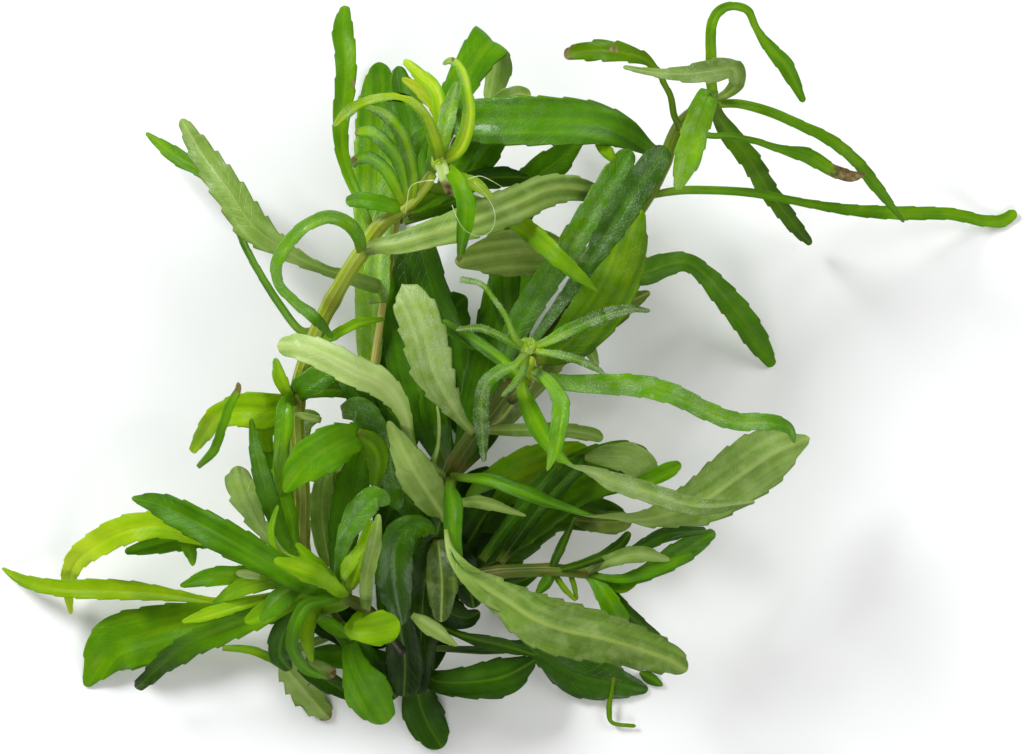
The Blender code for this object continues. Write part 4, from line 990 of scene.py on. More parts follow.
centreLeaves = {
    # the whitish frost on the turned part of this leaf stands for its silvery highlights: painted sheen
    "halfTurnedLeaf": {"slot": "pale_leaf", "tone": (0.56, 0.6, 0.66, 0.54, 0.4, 0.38),
        "turn": (0, 0, 60, 170, 180, 180, 180), "ribWide": 0.5, "frost": (0, 0, 0.9, 0.8, 0.3),
        "stripes": 0.4, "sides": 0.14, "route": [(530, 378, 48, 2), (522, 386, 51, 2.4), (530, 410, 52, 4),
        (545, 440, 53, 4.4), (565, 462, 54, 4.2), (600, 477, 54, 4.4), (650, 493, 53, 4.8),
        (700, 507, 50, 4), (755, 502, 45, 0.9)]},
    "hangingBrightLeaf": {"slot": "bright_leaf", "kind": "glossy", "tone": (0.66, 0.56, 0.54),
        "frost": (0.5, 0.2, 0), "route": [(533, 370, 53, 2), (545, 378, 58, 2.4), (555, 390, 62, 3.2),
        (561, 404, 65, 4), (559, 425, 67, 4), (555, 448, 67, 3.1), (547, 471, 65, 0.6)]},
    "darkRightLeaf": {"slot": "dark_leaf", "kind": "glossy", "tone": (0.6, 0.56, 0.58, 0.56, 0.5),
        "frost": (0.5, 0.8, 0.8, 0.5, 0.2), "ribWide": 0.7, "route": [(533, 372, 52, 2.4),
        (546, 379, 55, 3), (570, 383, 56, 3.6), (600, 384, 57, 4.4), (640, 386, 57, 5.2),
        (675, 395, 56, 4.8), (705, 410, 53, 4.4), (735, 421, 50, 4.3), (770, 422, 47, 3.8),
        (788, 428, 45, 2.6), (795, 443, 43, 0.8)]},
    "bentPaleLeaf": {"slot": "pale_leaf", "tone": (0.5, 0.7, 0.82, 0.84, 0.78), "turn": (180,),
        "ribWide": 1.9, "stripes": 0.5, "sides": 0.12, "route": [(448, 478, 26, 1.8), (440, 473, 29, 1.8),
        (426, 462, 31, 1.8), (412, 445, 34, 2), (405, 418, 42, 3.5), (395, 398, 48, 5.6), (378, 382, 53, 7),
        (352, 370, 56, 7.2), (325, 356, 57, 7), (300, 347, 56, 6.2), (277, 346, 53, 4)]},
    "uprightSilveryLeaf": {"slot": "pale_leaf", "kind": "pale", "tone": (0.3, 0.46, 0.52, 0.62, 0.62),
        "frost": (0, 0.5, 0.9, 0.8), "ribWide": 1.4, "toothDepth": 0.8, "crumple": 0.6, "point": 0.9,
        "sides": 0.1, "route": [(476, 436, 29, 2), (460, 418, 38, 2.8), (445, 395, 43, 7),
        (433, 370, 45, 10), (424, 335, 47, 10.6), (413, 305, 48, 9.5), (402, 284, 47, 4)]},
    "brightRibbedLeaf": {"slot": "pale_leaf", "tone": (0.35, 0.5, 0.56, 0.55), "turn": (180,),
        "ribWide": 1.8, "route": [(436, 530, 22, 3), (443, 518, 27, 4.5), (433, 500, 32, 7.8),
        (418, 477, 38, 9), (403, 450, 41, 6), (388, 421, 42, 1.2)]},
    "bigPaleLeaf": {"slot": "pale_leaf", "tone": (0.44, 0.38, 0.5, 0.4, 0.32, 0.32, 0.36),
        "turn": (0, 0, 0, 60, 170, 180, 180, 180, 180, 180), "ribWide": 1.9, "toothDepth": 0.7,
        "stripes": 0.3, "sides": 0.12, "route": [(451, 478, 28, 2.2), (450, 488, 38, 2.4),
        (453, 505, 44, 4.4), (453, 535, 47, 4.2), (460, 567, 51, 4.6), (485, 587, 52, 7),
        (507, 601, 52, 8.8), (535, 619, 52, 12), (565, 630, 50, 13), (606, 639, 47, 11.8),
        (642, 650, 43, 10), (670, 660, 40, 7.8), (687, 671, 37, 3.6)]},
    "broadTippedLeaf": {"slot": "pale_leaf", "tone": (0.5, 0.42, 0.4, 0.5, 0.42, 0.48, 0.58),
        "turn": (0, 0, 60, 125, 180, 180, 180), "toothDepth": 0.6, "ribWide": 1.8,
        "frost": (0, 0, 0, 0, 0.2, 0.2), "stripes": 0.2, "sides": 0.14, "point": 0.5, "route": [
        (450, 476, 27, 1.8), (468, 478, 33, 2), (490, 480, 38, 2.9), (520, 491, 41, 3.7),
        (560, 507, 43, 4.4), (600, 517, 43, 4.6), (650, 518, 41, 6.4), (700, 502, 38, 11),
        (740, 475, 35, 13.8), (775, 452, 31, 12.4), (810, 438, 26, 1.6)]},
    "oliveRightLeaf": {"slot": "olive_leaf", "tone": (0.12, 0.2, 0.36, 0.42, 0.42), "fold": 8, "warm": 0.35,
        "ribWide": 0.4, "route": [(426, 570, 18, 3), (450, 566, 14, 3), (475, 558, 13, 5.5),
        (515, 523, 16, 12), (565, 485, 19, 12.5), (613, 467, 20, 12), (640, 465, 19.5, 9.5),
        (652, 466, 19, 4.5)]},
    "darkRightBackLeaf": {"slot": "dark_leaf", "tone": (0.1, 0.16, 0.24, 0.26), "fold": 8, "warm": 0.35,
        "ribWide": 0.4, "route": [(423, 602, 16, 2), (445, 598, 9, 3), (482, 570, 6, 7.5),
        (512, 544, 6, 10), (552, 512, 7, 10), (600, 514, 8, 8), (630, 523, 8.5, 3)]},
    "middleBackLeaf": {"slot": "dark_leaf", "tone": (0.2, 0.32, 0.38, 0.38), "fold": 8, "ribWide": 0.5,
        "route": [(455, 466, 26, 3), (468, 440, 18, 6), (480, 400, 13, 10), (492, 350, 11, 10.5),
        (503, 305, 11, 8), (500, 275, 12, 2)]},
    "innerHangingLeaf": {"slot": "dark_leaf", "kind": "glossy", "tone": (0.35, 0.36, 0.24, 0.2, 0.18),
        "ribWide": 0.5, "route": [(432, 542, 22, 2.5), (425, 528, 28, 4), (408, 530, 32, 7),
        (396, 548, 32, 8.4), (395, 585, 29, 8.6), (402, 625, 24, 3)]},
}
leftLeaves = {
    "yellowGreenArch": {"slot": "yellow_leaf", "tone": (0.6, 0.76, 0.8, 0.7), "warm": 0.15, "ribWide": 0.5,
        "route": [(297, 402, 36, 2.5), (284, 405, 36, 5), (265, 411, 38, 8.2), (240, 410, 37, 7.6),
        (217, 417, 32, 5.4), (204, 433, 26, 4.2), (192, 452, 19, 1.8)]},
    "flatBrightLeaf": {"slot": "bright_leaf", "tone": (0.45, 0.54, 0.56, 0.54), "fold": 8,
        "toothDepth": 0.5, "ribWide": 0.4, "route": [(374, 425, 15, 2), (370, 430, 25, 3),
        (360, 434, 35, 5.5), (335, 445, 44, 9.8), (305, 465, 48, 9), (284, 492, 46, 1.4)]},
    "slimDarkLeaf": {"slot": "dark_leaf", "tone": (0.5, 0.5, 0.42, 0.38), "frost": (0, 0, 0.5), "route": [
        (305, 560, 23, 2.4), (296, 552, 27, 2.6), (283, 536, 33, 3.1), (268, 495, 41, 4.8),
        (257, 455, 46, 3.5), (251, 418, 48, 0.9)]},
    "speckledLeaf": {"slot": "pale_leaf", "kind": "pale", "tone": (0.4, 0.48, 0.56, 0.6), "turn": (180,),
        "frost": (0.3, 0.6), "ribWide": 0.4, "toothDepth": 0.9, "route": [(304, 562, 21, 2.4),
        (288, 552, 19, 2.4), (264, 532, 20, 4), (249, 506, 21, 6.6), (240, 484, 21, 7.6),
        (236, 466, 21, 4.4)]},
    "upperLeftReach": {"slot": "mid_leaf", "tone": (0.42, 0.42, 0.42, 0.4), "ribWide": 0.7, "route": [
        (335, 590, 33, 3), (318, 590, 39, 3.4), (300, 581, 43, 4.8), (270, 563, 45, 6.6),
        (235, 543, 46, 7.9), (195, 522, 44, 7.4), (160, 505, 40, 5.6), (132, 498, 34, 0.9)]},
    # the bright yellow-green tone of brightArch stands for light shining through it from behind: painted
    # backlight glow
    "brightArch": {"slot": "yellow_leaf", "tone": (0.76, 0.72, 0.86, 0.97, 0.92), "warm": 0.1,
        "ribWide": 0.5, "wave": 0.5, "route": [(306, 566, 38, 2), (296, 562, 34, 2.4), (250, 550, 30, 4),
        (200, 535, 28, 5), (160, 525, 27, 6.4), (125, 530, 25, 7), (95, 545, 20, 6.4), (75, 562, 13, 5.2),
        (68, 585, 6, 3.3), (71, 614, 2, 0.9)]},
    "farLeftReach": {"slot": "mid_leaf", "tone": (0.66, 0.72, 0.72, 0.7), "warm": 0.35, "ribWide": 0.5,
        "route": [(322, 582, 35, 1.6), (308, 588, 27, 1.8), (260, 598, 21, 1.8), (216, 601, 18, 1.8),
        (180, 596, 16, 2.8), (140, 591, 14, 4.4), (100, 589, 12.5, 5), (60, 588, 10.5, 4.2),
        (25, 581, 5, 3), (2, 568, 0.8, 0.7)]},
    "broadLowLeaf": {"slot": "mid_leaf", "tone": (0.6, 0.6, 0.56, 0.52), "fold": 8, "warm": 0.15,
        "ribWide": 0.7, "route": [(350, 600, 29, 2.4), (338, 606, 24, 2.6), (315, 609, 19, 3),
        (260, 615, 13, 5.5), (200, 622, 10, 9.9), (150, 635, 8, 13.6), (112, 648, 5, 12.6),
        (85, 686, 0.8, 1.8)]},
    "twistedLeaf": {"slot": "dark_leaf", "tone": (0.6, 0.58, 0.54, 0.5, 0.24, 0.1),
        "turn": (0, 0, 10, 20, 30, 10), "warm": 0.15, "ribWide": 0.6, "frost": (0, 0, 0, 0.3),
        "toothDepth": 0.6, "route": [(326, 584, 35, 2), (314, 592, 32, 2.6), (298, 599, 30, 3.3),
        (250, 620, 26, 6), (205, 637, 22, 7), (172, 656, 18, 6.6), (136, 688, 11, 2.6)]},
}
bottomLeaves = {
    "deadTippedLeaf": {"slot": "bright_leaf", "tone": (0.36, 0.5, 0.54, 0.56), "fold": 8, "ribWide": 0.8,
        "route": [(346, 636, 14, 2), (350, 642, 20, 3.2), (355, 665, 22, 6.4), (368, 692, 20, 11),
        (386, 723, 14, 5)]},
    "crumpledLeaf": {"slot": "pale_leaf", "kind": "pale", "tone": (0.3, 0.42, 0.6, 0.56, 0.4),
        "turn": (180,), "crumple": 1.6, "toothDepth": 1.3, "toothGap": 3.6, "dead": 0.985,
        "spots": ((0.72, 1.8, 0.4),), "route": [(340, 632, 13, 1.8), (320, 640, 8, 2), (295, 650, 7, 3),
        (286, 665, 6, 5), (302, 688, 4, 8.4), (318, 706, 2.6, 7), (330, 719, 0.93, 3)]},
    "straightDownLeaf": {"slot": "dark_leaf", "tone": (0.1, 0.22, 0.3), "fold": 5, "route": [
        (422, 650, 11, 3), (424, 664, 6, 4.5), (418, 690, 3.5, 7.4), (425, 718, 2, 9.8),
        (442, 748, 1, 5.6)]},
    "lowRightLeaf": {"slot": "dark_leaf", "tone": (0.12, 0.24, 0.22), "fold": 8, "route": [
        (420, 668, 10, 3), (436, 681, 13, 5), (470, 682, 14, 7.9), (505, 676, 13, 9.2),
        (535, 660, 11, 2.5)]},
}
nodeLeaves = {
    "shortArch": {"tone": (0.55, 0.62, 0.6), "route": [(323, 340, 42, 1.5), (333, 336, 46, 2.2),
        (345, 329, 48, 2.4), (360, 322, 48, 2.2), (385, 319, 44, 0.8)]},
    "nodeLeaf": {"tone": (0.6, 0.7, 0.7), "warm": 0.2, "route": [(297, 398, 37, 1.5), (288, 394, 40, 2.4),
        (280, 378, 41, 3.3), (275, 358, 40, 1.2)]},
    "nodeLeafDark": {"kind": "glossy", "tone": (0.35, 0.4, 0.4), "route": [(295, 400, 37, 2),
        (302, 389, 41, 5.5), (317, 379, 42, 6.5), (334, 368, 42, 4), (342, 361, 41, 1)]},
    "hangingGloss": {"kind": "glossy", "tone": (0.5, 0.55, 0.58, 0.55), "route": [(297, 400, 38, 2),
        (286, 404, 43, 3.4), (284, 425, 44, 4.2), (281, 455, 42, 3.6), (282, 485, 37, 3.6),
        (288, 508, 31, 3), (292, 524, 28, 1)]},
    "sideLeaf1": {"tone": (0.8, 0.54, 0.5, 0.46), "warm": 0.25, "stripes": 1.1, "frost": (0, 0.3, 0.5),
        "route": [(410, 203, 50.5, 1.8), (413, 185, 54, 2.4), (410, 160, 57, 3.2), (400, 132, 58, 3.4),
        (384, 114, 57, 2.6), (366, 107, 54, 1)]},
    "sideLeaf2": {"tone": (0.8, 0.58, 0.54, 0.6), "dead": 0.98, "frost": (0, 0.3, 0.8), "stripes": 1.1,
        "route": [(407, 203, 50.5, 1.8), (406, 185, 54, 2.4), (398, 160, 56, 3.4), (385, 143, 56, 3.4),
        (370, 132, 54, 3), (355, 133, 51, 1.2)]},
    "sideLeaf3": {"tone": (0.8, 0.62, 0.5, 0.42), "spots": ((0.86, 0.3, 1.0),), "stripes": 0.8,
        "frost": (0, 0.2, 0.5), "route": [(404, 204, 50.5, 1.8), (395, 186, 54, 2.6), (384, 168, 55, 3),
        (370, 158, 53, 2.8), (357, 160, 50, 2.4), (352, 166, 47, 1.4)]},
    "sideLeaf4": {"tone": (0.6, 0.52, 0.5, 0.56), "frost": (0, 0, 0, 0.8), "ribWide": 0.5, "route": [
        (405, 207, 50, 2), (392, 206, 52, 3.2), (375, 202, 52.5, 3.8), (358, 200, 51, 3.6),
        (346, 202, 49, 2)]},
    "sideLeaf5": {"kind": "glossy", "tone": (0.7, 0.5, 0.5), "route": [(410, 200, 51, 1.6),
        (407, 175, 53, 2.8), (412, 152, 54, 3.4), (422, 134, 53, 2.6), (428, 126, 52, 0.9)]},
}
stripedLeaves = {
    "stripedLeaf": {"tone": (0.6, 0.46, 0.4), "ribWide": 1.8, "stripes": 1.0, "route": [
        (528, 384, 45, 1.8), (512, 370, 46, 3), (495, 355, 45, 3.1), (470, 338, 42, 3.1),
        (443, 320, 36, 1)]},
}
rosetteLeaves = {
    "frostedLeaf1": {"kind": "young", "tone": (0.8, 0.4, 0.26, 0.28), "frost": (0.2, 0.9, 1), "route": [
        (526, 352, 60, 1.6), (515, 365, 61, 1.8), (500, 371, 61, 2.9), (485, 385, 59, 3.3),
        (481, 405, 56, 3.5), (482, 430, 52, 3.3), (484, 462, 47, 1)]},
    "frostedLeaf2": {"kind": "young", "tone": (0.7, 0.35), "frost": (0.3, 0.9), "route": [
        (527, 352, 59, 1.6), (524, 368, 58, 1.8), (516, 382, 56, 1.8), (502, 396, 53, 0.8)]},
    "frostedLeaf3": {"kind": "young", "tone": (0.8, 0.42, 0.32), "frost": (0.2, 0.8, 1), "route": [
        (522, 345, 61, 1.6), (515, 338, 63, 1.4), (505, 315, 66, 1.3), (493, 298, 67, 1.3),
        (481, 284, 67, 1.3), (460, 279, 64, 1.6)]},
    "frostedLeaf4": {"kind": "young", "tone": (0.7, 0.36, 0.26), "frost": (0.2, 0.8, 1), "route": [
        (523, 347, 60, 1.6), (512, 343, 62, 1.8), (498, 335, 64, 1.8), (478, 328, 64, 1.8),
        (456, 330, 61, 0.8)]},
    "frostedLeaf5": {"kind": "young", "tone": (0.8, 0.36, 0.28, 0.28), "frost": (0.3, 0.9, 1.2, 1),
        "route": [(533, 347, 60, 1.6), (548, 341, 62, 2), (565, 332, 62, 2.9), (590, 321, 61, 3.3),
        (612, 313, 60, 3.1), (632, 309, 57, 1.8), (650, 311, 54, 0.9)]},
    "frostedLeaf6": {"kind": "young", "tone": (0.8, 0.42, 0.34), "frost": (0.2, 0.9, 1), "route": [
        (533, 350, 60, 1.4), (548, 353, 62, 1.6), (566, 356, 63, 2), (592, 366, 63, 1.8),
        (605, 375, 62, 0.7)]},
}
crownLeaves = {
    "yellowHook": {"tone": (0.74, 0.78, 0.74, 0.68), "fold": 30, "stripes": 1.1,
        "frost": (0, 0.4, 0.7, 0.7), "warm": 0.15, "route": [(440, 160, 57, 2.6), (434, 138, 62, 3.1),
        (424, 115, 67, 2.6), (408, 100, 69, 2.2), (388, 97, 69, 2), (365, 102, 68, 2.2),
        (348, 112, 65, 2.6), (334, 126, 61, 0.9)]},
    "yellowUpright": {"tone": (0.76, 0.8, 0.72, 0.64), "fold": 24, "spots": ((0.86, 0.6, 0.9),),
        "stripes": 1.1, "frost": (0, 0.3, 0.8), "warm": 0.1, "route": [(444, 160, 57, 2.6),
        (456, 152, 60, 3), (464, 138, 63, 3.3), (469, 115, 66, 3.1), (467, 92, 67, 2.6), (462, 72, 64, 2.2),
        (452, 61, 60, 1.8), (443, 64, 56, 0.7)]},
    "innerLeaf": {"kind": "young", "tone": (0.8, 0.6, 0.5), "frost": (0.3, 1, 0.8), "route": [
        (442, 158, 56, 1.8), (443, 138, 58, 3.5), (449, 110, 57, 4), (457, 82, 53, 1.3)]},
    "brownEndedLeaf": {"kind": "pale", "tone": (0.9, 0.85), "dead": 0.62, "route": [(440, 162, 57, 2.6),
        (446, 178, 60, 3), (454, 195, 59, 3.6)]},
    "hangingLeaf": {"tone": (0.7, 0.6, 0.5, 0.3), "dead": 0.97, "route": [(444, 163, 56, 2),
        (458, 182, 63, 3.6), (466, 205, 65, 4.4), (464, 230, 64, 3.5), (459, 262, 61, 0.9)]},
    "stripedYellowLeaf": {"tone": (0.85, 0.85, 0.8), "frost": (0, 0.5), "stripes": 0.8, "route": [
        (444, 164, 55, 1.8), (458, 178, 57, 3), (475, 184, 57, 3.2), (494, 199, 54, 1)]},
    "paleTopLeaf": {"tone": (0.7, 0.8, 0.88, 0.85), "stripes": 0.9, "route": [(441, 158, 54, 1.8),
        (443, 130, 51, 3), (436, 92, 47, 3.5), (420, 75, 45, 3.1), (404, 60, 43, 1.5)]},
}
lowShootLeaves = {
    "brightTipLeaf1": {"tone": (0.6, 0.66, 0.7), "ribWide": 0.5, "warm": 0.15, "route": [(345, 597, 30, 2),
        (340, 592, 38, 3.1), (325, 580, 46, 4), (306, 570, 50, 5.5), (274, 560, 51, 1.6)]},
    "brightTipLeaf2": {"tone": (0.6, 0.62), "ribWide": 0.5, "route": [(340, 594, 31, 2), (332, 582, 40, 3),
        (316, 566, 45, 4), (296, 543, 46, 1.1)]},
    "uprightLeaf": {"kind": "pale", "tone": (0.5, 0.55, 0.56, 0.5), "ribWide": 0.6, "route": [
        (366, 610, 25, 2), (366, 598, 32, 2.8), (367, 575, 38, 3.5), (374, 545, 42, 3.5),
        (379, 514, 43, 1.2)]},
    "bentUprightLeaf": {"kind": "glossy", "tone": (0.45, 0.45, 0.42), "frost": (0, 0.3, 0.2), "route": [
        (345, 597, 30, 1.8), (339, 580, 37, 1.8), (343, 545, 44, 3.5), (357, 515, 48, 6),
        (375, 498, 49, 5.6), (390, 502, 46, 1.8)]},
    "smallLowerLeaf": {"kind": "glossy", "tone": (0.56, 0.58, 0.5), "route": [(312, 571, 37, 1.8),
        (303, 582, 38, 3), (280, 599, 38, 5.3), (260, 621, 35, 1.2)]},
    "glossyLowLeaf": {"kind": "glossy", "tone": (0.6, 0.68, 0.62), "route": [(306, 565, 39, 1.8),
        (300, 576, 37, 2.6), (270, 580, 34, 4.4), (240, 588, 31, 4.2), (213, 603, 26, 1)]},
    "hookedLowLeaf": {"tone": (0.45, 0.42, 0.42), "route": [(342, 596, 31, 1.8), (328, 600, 38, 2.2),
        (306, 606, 42, 3.1), (295, 625, 42, 3.1), (293, 648, 38, 3.1), (305, 668, 32, 2.6),
        (322, 677, 27, 1)]},
    "cutLeaf": {"tone": (0.56, 0.68, 0.72), "warm": 0.1, "ribWide": 0.6, "route": [(366, 609, 24, 2),
        (356, 620, 29, 2.6), (352, 630, 33, 3.6), (375, 629, 35, 7.8), (400, 623, 35, 7.6)]},
}
sideShootLeaves = {
    "shootLeaf1": {"tone": (0.25, 0.25), "warm": 0.2, "route": [(552, 569, 28, 1.6), (556, 558, 31, 2),
        (562, 545, 34, 2.2), (575, 517, 35, 0.9)]},
    "shootLeaf2": {"tone": (0.2, 0.2), "warm": 0.2, "route": [(558, 570, 28, 1.6), (575, 566, 33, 2),
        (600, 557, 35, 2.4), (618, 546, 35, 2.8), (630, 532, 35, 1.6)]},
    "shootLeaf3": {"kind": "pale", "tone": (0.35, 0.42, 0.45), "ribWide": 0.5, "frost": (0, 0.3), "route": [
        (586, 572, 30, 1.8), (610, 560, 36, 3.1), (640, 554, 37, 4), (670, 560, 35, 1)]},
    "shootLeaf4": {"kind": "glossy", "tone": (0.2, 0.2), "route": [(584, 571, 29, 1.6), (605, 564, 29, 2),
        (632, 552, 29, 2.6), (665, 535, 28, 3.6), (706, 530, 25, 1.6)]},
    "shootLeaf5": {"tone": (0.44, 0.42, 0.42, 0.38), "frost": (0, 0.1, 0.3), "route": [(588, 575, 29, 1.8),
        (616, 581, 28, 2.6), (645, 573, 27, 4), (683, 551, 25, 5.8), (715, 532, 21, 2.2)]},
    "shootLeaf6": {"tone": (0.4, 0.46, 0.5), "ribWide": 0.7, "route": [(588, 573, 30, 1.8),
        (605, 578, 33, 1.8), (628, 578, 34, 2.4), (656, 569, 35, 3), (692, 554, 34, 1.2)]},
    "shootLeaf7": {"tone": (0.5, 0.56, 0.5), "ribWide": 0.5, "route": [(587, 574, 30, 1.8),
        (596, 582, 32, 3), (606, 597, 33, 4.6), (617, 618, 31, 5.6), (626, 640, 28, 1.6)]},
    "shootLeaf8": {"tone": (0.25, 0.25), "route": [(590, 574, 30, 1.8), (604, 586, 29, 2.6),
        (635, 620, 27, 3.4), (672, 648, 24, 1.2)]},
    "shootLeaf9": {"tone": (0.35, 0.35), "route": [(552, 571, 28, 1.8), (546, 583, 29, 3),
        (536, 594, 28, 1)]},
}
lowRightLeaves = {
    "bottomRightLeaf": {"kind": "glossy", "tone": (0.2, 0.25, 0.25), "fold": 5, "route": [
        (434, 648, 9, 1.5), (480, 650, 7, 2), (530, 648, 4, 4.4), (575, 674, 2.5, 10), (615, 683, 2, 8),
        (648, 690, 1, 1.6)]},
    "thinStalk": {"tone": (0.45, 0.5), "warm": 0.5, "route": [(614, 676, 2, 1.2), (612, 690, 2.5, 1),
        (609, 710, 2.5, 1.4), (613, 723, 2, 1), (636, 726, 1.5, 1)]},
}
